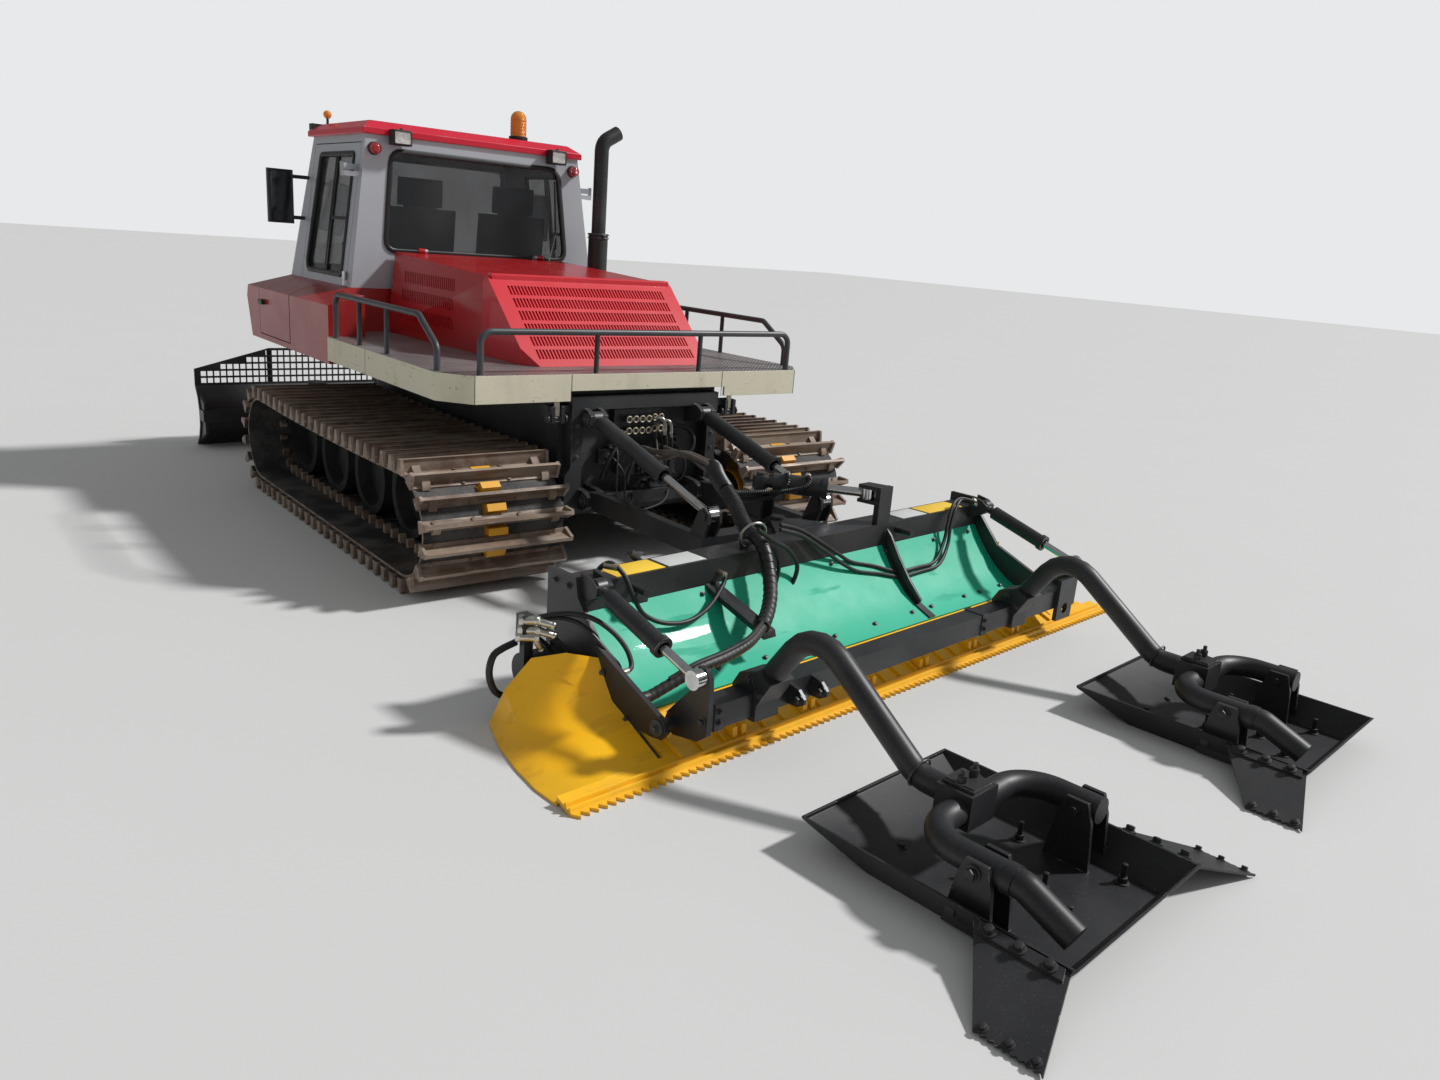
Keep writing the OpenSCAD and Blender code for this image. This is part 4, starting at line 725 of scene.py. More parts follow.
class Kit:
    """Small solids in millimetres on one grid, gathered into one piece."""

    def __init__(self, grid):
        self.grid, self.points, self.faces = grid, [], []

    def skin(self, rings, closed=False, tips=()):
        """Faces from ring to ring: points i and i + 1 of one ring with those of the next.

        The ends are flat, or fans out to the two tips, or they join when the rings are closed."""
        rings = np.asarray(rings, float)
        number = np.arange(rings.shape[0] * rings.shape[1]).reshape(rings.shape[:2]) + len(self.points)
        low, high = (number, np.roll(number, -1, 0)) if closed else (number[:-1], number[1:])
        quads = np.stack([low, np.roll(low, -1, 1), np.roll(high, -1, 1), high], -1)
        self.points += rings.reshape(-1, 3).tolist()
        self.faces += quads.reshape(-1, 4).tolist()
        for tip, ring in zip(tips, number[[0, -1]].tolist()):
            self.faces += [[len(self.points), i, j] for i, j in zip(ring, ring[1:] + ring[:1])]
            self.points.append(list(tip))
        if not closed and not len(tips):
            self.faces += [number[0, ::-1].tolist(), number[-1].tolist()]
        return self

    def rod(self, a, b, r, r_end=None, sides=20):
        """Round bar: a circle of so many sides at a and at b, square to the line between them.

        Six sides make a hexagon, and another radius at b makes a cone."""
        a, b = Vector(a), Vector(b)
        one, two, _ = (b - a).to_track_quat("Z", "Y").to_matrix().transposed()
        turn = np.arange(sides) * 2 * np.pi / sides
        circle = np.outer(np.sin(turn), one) + np.outer(np.cos(turn), two)
        return self.skin([np.array(a) + circle * r, np.array(b) + circle * (r if r_end is None else r_end)])

    def plate(self, outline, offset):
        """Flat plate: the outline, and the same outline moved by offset."""
        outline = np.array(outline, float)
        return self.skin([outline, outline + np.array(offset, float)])

    def box(self, low, high):
        """Box between two opposite corners: its floor, moved up."""
        (x0, y0, z0), (x1, y1, z1) = low, high
        return self.plate([(x0, y0, z0), (x1, y0, z0), (x1, y1, z0), (x0, y1, z0)], (0, 0, z1 - z0))

    def ball(self, centre, r):
        """Sphere: r * (sin tilt * cos turn, sin tilt * sin turn, cos tilt), by 15 and 18 degrees."""
        tilt, turn = np.meshgrid(np.radians(range(15, 180, 15)), np.radians(range(0, 360, 18)), indexing="ij")
        grid = np.stack([np.sin(tilt) * np.cos(turn), np.sin(tilt) * np.sin(turn), np.cos(tilt)], -1)
        centre, pole = np.array(centre, float), np.array([0, 0, r])
        return self.skin(centre + r * grid, tips=(centre + pole, centre - pole))

    def tube(self, route, radius, sides=12, step=10.0, closed=False):
        """Hose along a route; radius is a number or a function of distance and angle.

        Each ring's first direction is that of the ring before, less what points along the hose,
        so the rings don't twist. A point is the route's point + r * (cos a * side + sin a * third).
        """
        points = smooth_route(route, step, closed)
        ahead, behind = np.roll(points, -1, 0), np.roll(points, 1, 0)
        if not closed:
            ahead[-1], behind[0] = points[-1], points[0]
        along = ahead - behind
        along /= np.linalg.norm(along, axis=1, keepdims=True)
        side = [np.eye(3)[np.argmin(abs(along[0]))]]
        for d in along:
            flat = side[-1] - side[-1] @ d * d
            side.append(flat / np.linalg.norm(flat))
        side = np.array(side[1:])[:, None]
        third = np.cross(along[:, None], side)
        angle = np.linspace(0, 2 * np.pi, sides, endpoint=False)
        distance = np.arange(len(points))[:, None] * step
        r = radius(distance, angle) if callable(radius) else radius
        r = np.broadcast_to(r, (len(points), sides))[..., None]
        a = angle[:, None]
        return self.skin(points[:, None] + r * (np.cos(a) * side + np.sin(a) * third), closed)

    def hoop(self, centre, radius, thick, count, sides, step, two=(0, 1, 0), one=(1, 0, 0)):
        """Ring of round bar on the circle centre + radius * (cos t * one + sin t * two)."""
        t = np.linspace(0, 2 * np.pi, count, endpoint=False)
        circle = np.outer(np.cos(t), one) + np.outer(np.sin(t), two)
        return self.tube(np.array(centre) + radius * circle, thick, sides, step, closed=True)

    def frame(self, outline, normal, profile):
        """Strip round a closed flat outline; the profile is (inwards, outwards along the normal)."""
        points, n = np.array(outline, float), np.array(normal, float)
        n /= np.linalg.norm(n)
        along = np.roll(points, -1, 0) - np.roll(points, 1, 0)
        inward = np.cross(n, along)
        inward /= np.linalg.norm(inward, axis=1, keepdims=True)
        if (inward * (points.mean(0) - points)).sum() < 0:
            inward = -inward
        across, out = np.array(profile, float).T[..., None]
        return self.skin(points[:, None] + inward[:, None] * across + n * out, closed=True)

    def bolt(self, place, axis, size=8.0, tall=0.65, washer=True, stud=0.0):
        """Hexagon head on a washer; size is half its width, and stud a thread that stands above."""
        place, axis = Vector(place), Vector(axis).normalized()
        base = place - axis * 1.0
        top = place + axis * size * tall * 2
        if washer:
            self.rod(base, place + axis * size * 0.28, size * 1.45, sides=20)
        self.rod(base, top, size, sides=6)
        if stud:
            self.rod(base, top + axis * stud, size * 0.55, sides=12)
        return self

    def done(self, name, body, paint, slot, rounding=0.0, replaces=(), bend=None):
        """Given bend, the piece is fixed where it stands and rides on no body; what bend holds is not used.
        """
        raw = bpy.data.meshes.new("raw")
        raw.from_pydata(self.points, [], self.faces)
        bm = bmesh.new()
        bm.from_mesh(raw)
        bpy.data.meshes.remove(raw)
        bmesh.ops.recalc_face_normals(bm, faces=bm.faces)
        round_edges(bm, rounding, KIT_SHARP)
        bm.transform(self.grid)
        piece = stand(bm, name, KIT_CREASE, (paint,))
        if bend:
            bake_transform(piece)
        else:
            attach(piece, body)
        if replaces:
            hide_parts(*replaces)
        print(name, "on", body, "has", len(piece.data.polygons), "faces")


def ribbed(r, height, pitch):
    """Radius of a corrugated hose."""
    return lambda s, a: r + height * np.cos(2 * np.pi * s / pitch)


def wrapped(r, height, pitch):
    """Radius of a hose in a spiral wrap: flat bands that overlap the next turn by a small step."""
    return lambda s, a: r + height * ((s / pitch + a / (2 * np.pi)) % 1.0)


SIDES = (-1, 1)
NAMED_SIDES = ((-1, "left"), (1, "right"))

# %% [markdown]
# ## Window seals and glass trim
#
# The cab's walls lean, so a seal lies in a leaning plane. On the rear wall Y grows by 54 mm over
# the 901 mm from waist to eave, on the front glass Y shrinks by 160 mm, and on the doors X shrinks
# by 125 mm. Three functions give the point of a wall at any height.

# %% Seals
EAVE, WAIST = 2201.0, 1300.0


def rear_wall(x, z):
    """Point of the rear wall: Y grows by 54 in proportion to the height above the waist."""
    return (x, 1998 + 54 * (z - WAIST) / (EAVE - WAIST), z)


def front_wall(x, z):
    """Point of the front glass: Y shrinks by 160 in proportion to the height above the waist."""
    return (x, 3120 - 160 * (z - WAIST) / (EAVE - WAIST), z)


def side_wall(side, y, z):
    """Point of a door: X shrinks by 125 in proportion to the height above the waist."""
    return (side * (860 - 125 * (z - WAIST) / (EAVE - WAIST)), y, z)


SEAL = [(-13, -2), (-13, 6), (-7, 10), (10, 10), (17, 5), (17, -16), (4, -16), (4, -2)]
REAR_OUT = (0, -1, 0.06)
FRONT_OUT = (0, 1, 0.1776)

kit = Kit(VEHICLE)
window = [rear_wall(x, z) for x, z in ((-642, 1527), (642, 1527), (584, 2122), (-584, 2122))]
kit.frame(rounded(window, 78), REAR_OUT, SEAL)
window = [front_wall(x, z) for x, z in ((-741, 1369), (741, 1369), (651, 2121), (-651, 2121))]
kit.frame(rounded(window, 60), FRONT_OUT, SEAL)
kit.done("window_seals", "chassis", lamp_black, "lamp_black")

DOOR_WINDOW = ((2180, 1360), (2800, 1360), (2830, 1420), (2780, 2090), (2190, 2090))
for side, name in NAMED_SIDES:
    out = (side, 0, 0.1387)
    kit = Kit(VEHICLE)
    kit.frame(rounded([side_wall(side, y, z) for y, z in DOOR_WINDOW], 28), out, SEAL)
    for y, z0, z1 in ((2470, 1362, 2088), (2500, 1372, 2080)):
        pair = [side_wall(side, a, z) for a, z in ((y - 9, z0), (y + 9, z0), (y + 9, z1), (y - 9, z1))]
        kit.plate(pair, (-side * 16, 0, 0))
    bar = [side_wall(side, a, z) for a, z in ((2188, 1690), (2470, 1690), (2470, 1712), (2188, 1712))]
    kit.plate(bar, (-side * 14, 0, 0))
    kit.box((side * 822 - 14, 2196, 1500), (side * 822 + 14, 2210, 1560))
    kit.done(f"door_seal_{name}", f"door_{name}", lamp_black, "lamp_black", 1.0)

# %% [markdown]
# ## The wiper
#
# The wiper is parked upright at the right of the rear window. Its rubber is a thin plate under a
# round back, and its arm tapers from the pivot, as a pressed arm does.

# %% Wiper on the rear window
kit = Kit(VEHICLE)
foot, tip, pivot = (Vector(rear_wall(x, z)) for x, z in ((556, 1600), (548, 2045), (492, 1500)))
kit.rod(foot + Vector((0, -20, 0)), tip + Vector((0, -20, 0)), 6, sides=8)
rubber = [end + Vector((x, -18, 0)) for end, x in ((foot, -2), (foot, 2), (tip, 2), (tip, -2))]
kit.plate(rubber, (0, 10, 0))
kit.rod(pivot + Vector((0, 2, 0)), pivot + Vector((0, -26, 0)), 15)
kit.done("wiper_blade", "chassis", lamp_black, "lamp_black", 0.8)
kit = Kit(VEHICLE)
kit.rod(pivot + Vector((0, -24, 0)), Vector(rear_wall(552, 1700)) + Vector((0, -30, 0)), 5, 3.5, sides=10)
kit.done("wiper_arm", "chassis", rod_chrome, "rod_chrome")

# %% [markdown]
# ## Lamps and mirrors
#
# A work lamp is a black tub with a ribbed lens over a bright reflector. The lens needs no light
# of its own: a pale, half metallic surface with vertical ribs reads as a reflector in daylight.

# %% Lamps
def reflector():
    """Pale, half metallic glass with vertical ribs: the sine of X, 7 mm from rib to rib."""
    p = Paint("lens_bright")
    spark = p.noise(60, 3).above(0.45, 0.65)
    p.set(base_color=p.mix(spark, (0.86, 0.85, 0.80), (0.62, 0.60, 0.56)), roughness=spark * 0.10 + 0.12)
    p.bump(p.node("Math", {"operation": "SINE"}, {0: p.axis("X") * 900}), 0.0009)
    return p.gloss(metallic=0.45, coat=0.8).material


lens, rim = Kit(VEHICLE), Kit(VEHICLE)
LAMP_RIM = [(-4, -1), (-4, 4), (-1, 7), (3, 7), (4, 4), (4, -1)]


def lamp_face(x, half, y, low, high, way):
    """Lens, and the rim round it, of a lamp that looks back (way -1) or ahead (way 1)."""
    outline = rounded(oblong(x - half, x + half, y, low, high), 10)
    lens.plate(outline, (0, 3.5 * way, 0))
    rim.frame(outline, (0, way, 0), LAMP_RIM)


for side in SIDES:
    x = side * 540
    lamp_face(x, 53, 1965, 2157, 2233, -1)
    rim.rod((x, 1990, 2240), (x, 1990, 2249), 9, sides=6)
    for inner in (495, 665):
        lamp_face(side * inner, 57, 3070, 2213, 2282, 1)
    rim.rod((side * 690, 2052, 2120), (side * 690, 2037, 2120), 38, sides=32)
lens.done("lamp_lenses", "chassis", reflector(), "lamp_black", 1.0)
rim.done("lamp_rims", "chassis", lamp_black, "lamp_black", 0.6)

# %% Facets of the red lamps and ribs of the beacon
kit = Kit(VEHICLE)
for side in SIDES:
    kit.rod((side * 690, 2001, 2120), (side * 690, 1993, 2120), 30, 18, sides=12)
kit.done("red_lenses", "chassis", signal_red, "signal_red", 0.8)
kit = Kit(VEHICLE)
for i in range(5):
    kit.hoop((360, 2200, 2330 + i * 20), 52.6, 1.6, 12, 6, 9.0)
kit.done("beacon_ribs", "chassis", amber, "signal_red")

# %% Mirror glasses and their arms
mirror_glass = bright_metal("mirror_glass", (0.30, 0.31, 0.32), 0.03, 12)
kit, arms = Kit(VEHICLE), Kit(VEHICLE)
for side in SIDES:
    corners = oblong(side * 890, side * 1030, 2960.5, 1650, 1970)
    kit.plate(rounded(corners, 22), (0, -2.5, 0))
    arms.frame(rounded(corners, 24), (0, -1, 0), [(-8, -2), (-8, 5), (-2, 8), (4, 4), (4, -2)])
    for z in (1690, 1930):
        arms.rod((side * 900, 2978, z), (side * 958, 2978, z), 15)
kit.done("mirror_glasses", "chassis", mirror_glass, "rod_chrome")
arms.done("mirror_rims", "chassis", lamp_black, "lamp_black")

# %% [markdown]
# ## Deck, tracks and body fasteners
#
# The skirts are plates butted together, so dark joint lines run down them. Every shoe is bolted
# through the belts, and a loop of 58 shoes repeats one bolt pattern: a function walks along the
# loop just as the belts do, two straights and two half circles, the upper straight sagging a bit.

# %% Joints of the skirt and tabs of the hitch lugs
joint = Kit(VEHICLE)
for x, low in ((-492, 912), (473, 912), (-1018, 911), (1018, 911)):
    joint.box((x - 1.5, -0.8, low), (x + 1.5, 1, 1046))
for side in SIDES:
    joint.box((side * 1148 - 0.8, 1030, 912), (side * 1148 + 0.8, 1033, 1046))
joint.done("skirt_joints", "chassis", lamp_black, "deck_cream")
tabs = Kit(VEHICLE)
for side in SIDES:
    tabs.plate(oblong(side * 543, side * 571, 24, 915, 806), (0, 10, 0))
tabs.done("hitch_tabs", "chassis", deck_cream, "deck_cream", 1.0)

# %% Bolts of the track shoes
SAG, TRACK_X, BELT_HALF = 16, 967, 7
SHOES = 58
STRAIGHT, ARC = TRACK_FRONT - TRACK_REAR, math.pi * BELT_RADIUS
LOOP = 2 * STRAIGHT + 2 * ARC
PITCH = LOOP / SHOES
PHASE = PITCH / 2 + LOOP - ARC / 2 - PITCH * math.floor((LOOP - ARC / 2) / PITCH)


def loop_point(s):
    """Place and direction on the belts' middle line, s millimetres from its rear bottom."""
    if s < STRAIGHT:
        return TRACK_REAR + s, TRACK_Z - BELT_RADIUS, 0.0
    if s < STRAIGHT + ARC:
        turn = (s - STRAIGHT) / BELT_RADIUS
        y = TRACK_FRONT + BELT_RADIUS * math.sin(turn)
        return y, TRACK_Z - BELT_RADIUS * math.cos(turn), turn
    if s < 2 * STRAIGHT + ARC:
        u = (s - STRAIGHT - ARC) / STRAIGHT
        return TRACK_FRONT - u * STRAIGHT, TRACK_Z + BELT_RADIUS - SAG * math.sin(math.pi * u), math.pi
    turn = math.pi + (s - 2 * STRAIGHT - ARC) / BELT_RADIUS
    return TRACK_REAR + BELT_RADIUS * math.sin(turn), TRACK_Z - BELT_RADIUS * math.cos(turn), turn


for side, name in NAMED_SIDES:
    kit = Kit(VEHICLE)
    for i in range(SHOES):
        y, z, turn = loop_point((PHASE + i * PITCH) % LOOP)
        ahead = np.array([math.cos(turn), math.sin(turn)])
        out = np.array([math.sin(turn), -math.cos(turn)])
        for across in (-318, -120, 120, 318):
            for step in (-17, 17):
                spot = np.array([y, z]) + ahead * step + out * (BELT_HALF + 7)
                top = spot + out * 9
                x = side * (TRACK_X + across)
                kit.rod((x, *spot), (x, *top), 9.5, sides=6)
    kit.done(f"shoe_bolts_{name}", "chassis", track_brown, "track_brown")

# %% [markdown]
# ## Portal: couplers, fittings and corrugated hoses
#
# The coupler bank has two rows of six quick couplers, the right four on a block set back a little.
# Each is a zinc ring round its hole, and a flat black disc in the hole is painted shade. The hoses
# that leave it are corrugated sleeves with bright ferrules at their ends. They follow the same
# points as the solids that they replace.

# %% Portal
zinc_warm = bright_metal("zinc_warm", (0.60, 0.54, 0.40), 0.34, 40)
nickel = bright_metal("nickel", (0.62, 0.61, 0.56), 0.20, 50)
hose_grey = rubber_finish("hose_grey", (0.10, 0.085, 0.075), (0.24, 0.21, 0.18), 0.4, 0.5)

rings, hole_shade = Kit(VEHICLE), Kit(VEHICLE)
for i in range(6):
    for j in range(2):
        x, z = -120 + i * 42, 800 - j * 62
        if i > 3:
            x, z = x + 6, z + 4
        face = 20 if i < 4 else 34
        rings.hoop((x, face, z), 16, 4.2, 12, 8, 6.0, two=(0, 0, 1))
        rings.rod((x, face + 30, z), (x, face + 1, z), 15.5, sides=24)
        # Painted shade: a flat black disc where the coupler's hole is
        hole_shade.rod((x, face + 2, z), (x, face - 0.5, z), 12, sides=20)
rings.done("coupler_rings", "chassis", zinc_warm, "coupler_steel")
hole_shade.done("coupler_hole_shade", "chassis", hose_black, "hose_black")

ROUTE_ARC = [(-157, 59.7, 732), (-157, 34, 732), (-150, 2, 712), (-100, -14, 664), (10, -25, 620),
             (150, -32, 592), (255, -22, 606), (308, 5, 655), (300, 30, 715), (250, 44, 742),
             (180, 52, 752), (128, 55, 752), (110.3, 55, 752)]
ROUTE_DROPS = [
    [(84, 59.7, 720), (84, 35, 720), (92, 8, 680), (98, 0, 600), (96, 4, 520), (92, 30, 460),
     (90, 70, 445), (90, 99.7, 445)],
    [(44, 59.7, 720), (44, 35, 720), (48, 6, 680), (52, -4, 600), (50, 0, 515), (46, 30, 452),
     (44, 70, 437), (44, 99.7, 437)],
]
kit, ends = Kit(VEHICLE), Kit(VEHICLE)
kit.tube(ROUTE_ARC, ribbed(11.8, 1.3, 9.0), 12, 2.25)
for route in ROUTE_DROPS:
    kit.tube(route, ribbed(9.8, 1.2, 8.0), 10, 2.0)
kit.done("portal_sleeves", "chassis", hose_black, "hose_black", replaces=("portal_hoses",))

# Elbows from the right couplers, in two bright curves
for x, drop in ((88, 0), (130, -14)):
    ends.tube([(x - 40, 22, 806 + drop), (x - 30, 2, 806 + drop), (x - 8, -12, 796 + drop),
               (x + 4, -12, 760 + drop), (x + 6, -8, 724 + drop)], 8.5, 12, 6)
    ends.rod((x - 40, 40, 806 + drop), (x - 39, 8, 806 + drop), 13, sides=6)
    ends.rod((x + 5, -9, 742 + drop), (x + 7, -6, 712 + drop), 12.5, sides=6)
for x, y, z in ((84, 50, 720), (44, 50, 720), (-157, 48, 732), (116, 55, 752)):
    ends.rod((x, y + 8, z), (x, y - 16, z - 1), 14, sides=6)
for x, y, z in ((-210, 88, 655), (-225, 90, 600), (170, 88, 655)):
    ends.rod((x, y, z), (x, y - 46, z + 4), 12, sides=6)
    ends.rod((x, y - 40, z + 4), (x, y - 66, z + 8), 9, sides=14)
ends.done("portal_fittings", "chassis", nickel, "coupler_steel", 0.6)

kit = Kit(VEHICLE)
for route, r in (
    ([(102, -10, 715), (110, -8, 660), (112, 10, 560), (108, 40, 470), (104, 80, 440)], 9),
    ([(138, -14, 698), (140, -16, 640), (136, 0, 540), (130, 30, 470), (126, 80, 452)], 9),
    ([(-210, 24, 665), (-214, -20, 640), (-226, -44, 560), (-226, -46, 440), (-196, -40, 356),
      (-140, -30, 342), (-90, 0, 372), (-70, 50, 420)], 6),
    ([(-225, 26, 608), (-216, -10, 590), (-176, -36, 520), (-168, -40, 420), (-150, -40, 350),
      (-84, -38, 318), (20, -30, 322), (120, -10, 350), (180, 40, 415)], 6),
    ([(170, 24, 662), (188, -6, 640), (236, -20, 560), (240, 0, 470), (210, 60, 430)], 8),
    ([(-150, 20, 735), (-176, -6, 700), (-240, -20, 640), (-270, 0, 560), (-264, 50, 480)], 10),
    ([(-110, 30, 650), (-60, -10, 640), (30, -30, 590), (140, -20, 520), (210, 20, 470)], 10),
    ([(-60, 30, 640), (-90, -10, 600), (-130, -20, 540), (-120, 10, 470), (-80, 60, 430)], 9),
):
    kit.tube(route, r, 10, 9)
kit.done("portal_lines", "chassis", hose_black, "hose_black")

# Manifold blocks and plugs behind the hoses
kit = Kit(VEHICLE)
kit.box((-270, 66, 560), (-205, 100, 640))
kit.box((150, 60, 600), (235, 100, 690))
kit.box((-60, 40, 500), (60, 92, 560))
PLUGS = ((-252, 620), (-222, 585), (165, 670), (215, 670), (165, 625), (215, 625), (-30, 530), (30, 530))
for x, z in PLUGS:
    kit.rod((x, 66, z), (x, 36, z), 10, sides=6)
kit.done("portal_manifold", "chassis", tool_black, "tool_black", 1.5)

# %% Bolts and pin heads of the portal
kit = Kit(VEHICLE)
for side in SIDES:
    for z in (620, 700, 780):
        kit.bolt((side * 438, 20, z), (0, -1, 0), 8)
    for y, z, x in ((-12, 820, 412), (-30, 400, 427)):
        kit.rod((side * (x - 8), y, z), (side * x, y, z), 30, sides=32)
        kit.bolt((side * x, y, z), (side, 0, 0), 11)
    kit.rod((side * 605, 30, 822), (side * 612, 30, 822), 20, sides=24)
    kit.rod((side * 503, 30, 822), (side * 511, 30, 822), 20, sides=24)
kit.done("portal_bolts", "chassis", rail_grey, "tool_black", 0.6)

# %% [markdown]
# ## Hoses between bodies
#
# A bundle runs from the portal to the tool past two hinges. Each half of it spans one hinge: the
# upper half runs from the chassis to the lift arm, the lower one from the arm to the tool. Both
# halves are fixed where they are drawn and ride on no body, so they don't bend when the tool moves.

# %% Bundle from the portal to the tool
def on_vehicle(point):
    """Point of the tool's grid on the vehicle's grid."""
    return tuple(VEHICLE.inverted() @ (TOOL @ Vector(point)))


def metres(point):
    """Point of the vehicle's grid in the scene."""
    return tuple(VEHICLE @ Vector(point))


LOOM_TOP = on_vehicle((-330, 560, 700))
MIDDLE = (-210, -830, 716)
kit = Kit(VEHICLE)
for (x0, z0), (dx, dz), r in (
    ((-20, 640), (-16, 14), 12), ((30, 600), (14, 12), 12), ((100, 640), (-12, -14), 11),
    ((170, 610), (14, -14), 12),
):
    kit.tube([(x0, 60, z0), (x0, 20, z0 + 4), (x0 * 0.8 - 10, -120, z0 + 10),
              (x0 * 0.5 - 80, -400, 690 + dz), (-170 + dx, -690, 716 + dz),
              (MIDDLE[0] + dx, MIDDLE[1], MIDDLE[2] + dz)], r, 10, 16)
kit.done("bundle_upper", "chassis", hose_grey, "hose_black",
         bend=("rear_arm", metres((0, -60, 640)), metres((0, -700, 640))))
kit = Kit(VEHICLE)
kit.tube([(-184, -780, 716), MIDDLE, (-262, -900, 722), (-312, -975, 724), (-350, -1050, 714),
          LOOM_TOP], ribbed(35, 3.2, 17.0), 18, 4.25)
kit.done("bundle_sleeve", "rear_arm", hose_black, "hose_black",
         bend=("rear_tool", metres((0, -880, 700)), metres((0, -1060, 700))))

# %% The wrapped bundle over the tool, its ring and its clip
LOOM = [(-330, 560, 700), (-338, 500, 660), (-350, 440, 608), (-360, 380, 566), (-372, 310, 549),
        (-381, 256, 514), (-400, 205, 440), (-440, 150, 375), (-516, 85, 330), (-620, 15, 300),
        (-760, -50, 285), (-920, -90, 280), (-1080, -102, 272), (-1190, -88, 235),
        (-1262, -75, 208), (-1299.3, -75, 208)]
kit = Kit(TOOL)
kit.tube(LOOM[:4], ribbed(33, 2.6, 16.0), 18, 4.0)
kit.tube(LOOM[3:10], wrapped(28, 3.0, 34.0), 20, 3.4)
kit.tube(LOOM[9:], wrapped(20, 2.0, 26.0), 14, 5.2)
for dx, dz, r in ((0, 22, 9), (12, 10, 8)):
    kit.tube([(x + dx, y, z + dz) for x, y, z in LOOM[9:14]], r, 10, 14)
kit.box((-390, 366, 505.3), (-340, 394, 520))
kit.done("loom_wrap", "rear_tool", hose_black, "hose_black", replaces=("tool_loom",))
kit = Kit(TOOL)
centre, axis = np.array([-365.0, 345.0, 556.0]), np.array([-0.20, -0.86, -0.30])
axis /= np.linalg.norm(axis)
one = np.cross(axis, (0, 0, 1))
one /= np.linalg.norm(one)
two = np.cross(axis, one)
kit.hoop(centre, 62, 6, 20, 10, 10.0, two, one)
for a, b, r in ((-14, 20, 15), (12, 40, 13), (22, -12, 12)):
    at = centre + one * (a * 0.5) + two * 4
    kit.rod(at - axis * b * 0.2, at + axis * (46 + a), r, sides=6)
kit.done("loom_ring", "rear_tool", nickel, "coupler_steel")

# %% [markdown]
# ## The tool's own hoses
#
# Hoses arch over the beam, run along the cover and go into the side plates. A hose that hangs
# free has no formula, so each follows listed points, and hexagons, elbows and balls make its
# fittings.

# %% Hoses of the tool
kit, ends = Kit(TOOL), Kit(TOOL)
kit.tube([(-1160, 370, 505.3), (-1160, 370, 530), (-1140, 330, 560), (-1112, 280, 520),
          (-1090, 245, 440), (-1050, 225, 370), (-960, 205, 325), (-840, 200, 312),
          (-720, 215, 345), (-610, 255, 410), (-596, 270, 440), (-596, 299.7, 440)], 9.5, 12, 12)
kit.tube([(-1485.6, 334, 405), (-1460, 334, 405), (-1412, 302, 418), (-1356, 246, 426),
          (-1308, 192, 412), (-1262, 140, 368), (-1236, 98, 316), (-1236, 66, 268),
          (-1262, 52, 256), (-1299.4, 52, 256)], 9.5, 12, 12)
kit.done("tool_lines", "rear_tool", hose_black, "hose_black", replaces=("tool_hoses",))
kit = Kit(TOOL)
for route, r in (
    ([(-440, 250, 613), (-341, 250, 552), (-238, 250, 497), (-167, 252, 410), (-193, 262, 317),
      (-276, 280, 276), (-330, 296, 280)], 10),
    ([(-328, 280, 531), (-279, 262, 449), (-286, 262, 354), (-308, 280, 303), (-340, 296, 290)], 9),
    ([(-253, 296, 598), (-160, 292, 572), (-87, 286, 541), (40, 276, 470), (140, 270, 412),
      (232, 267, 364), (368, 243, 330), (513, 204, 290), (672, 200, 286), (820, 205, 291),
      (934, 240, 368), (983, 262, 450), (1044, 286, 530), (1130, 300, 556), (1232, 262, 534)], 9),
    ([(-262, 286, 580), (-168, 278, 552), (-96, 272, 520), (36, 258, 440), (146, 246, 372),
      (250, 236, 324), (386, 214, 296), (520, 186, 268), (680, 184, 268), (836, 190, 276),
      (950, 226, 346), (1004, 256, 440), (1070, 280, 520), (1150, 296, 552), (1240, 258, 516)], 9),
    ([(-1485, 340, 392), (-1440, 330, 396), (-1392, 296, 404), (-1352, 240, 396),
      (-1326, 190, 366), (-1290, 130, 300), (-1262, 96, 246), (-1284, 70, 180)], 8),
    ([(-1485, 340, 372), (-1446, 336, 360), (-1404, 300, 330), (-1355, 250, 250),
      (-1344, 200, 206), (-1334, 150, 170)], 8),
    ([(-1470, 356, 330), (-1430, 350, 312), (-1392, 330, 262), (-1376, 300, 206)], 8),
):
    kit.tube(route, r, 10, 14)
kit.done("tool_arcs", "rear_tool", hose_black, "hose_black")
ends.rod((-1150, 352, 548), (-1126, 304, 548), 15, sides=16)
ends.rod((-1160, 370, 506), (-1160, 370, 528), 15, sides=6)
ends.rod((-596, 262, 440), (-596, 299.5, 440), 14, sides=6)
ends.rod((-820, 460, 426), (-872, 460, 474), 18, sides=24)
ends.rod((-812, 460, 418), (-822, 460, 428), 22, sides=6)
ends.done("brass_ends", "rear_tool", zinc_warm, "coupler_steel", 0.8)
ends = Kit(TOOL)
for x, y, z in ((-1484, 334, 405), (-1484, 340, 392), (-1484, 340, 372)):
    ends.rod((x - 4, y, z), (x + 26, y, z), 13, sides=6)
    ends.rod((x + 24, y, z), (x + 40, y, z), 11, sides=16)
for a, b, r in (
    ((-1536, 334, 412), (-1486, 300, 412), 17), ((-1536, 340, 376), (-1480, 306, 372), 17),
    ((-1548, 334, 352), (-1492, 300, 348), 15), ((-1488, 300, 412), (-1440, 262, 396), 13),
    ((-1484, 306, 372), (-1430, 270, 352), 13), ((-1492, 300, 348), (-1462, 296, 300), 13),
):
    ends.rod(a, b, r, sides=16)
    ends.rod(a, (a[0] + 14, a[1] - 9, a[2]), r + 4, sides=6)
    ends.ball(b, r + 1)
ends.rod((-1262, 52, 256), (-1299, 52, 256), 13, sides=6)
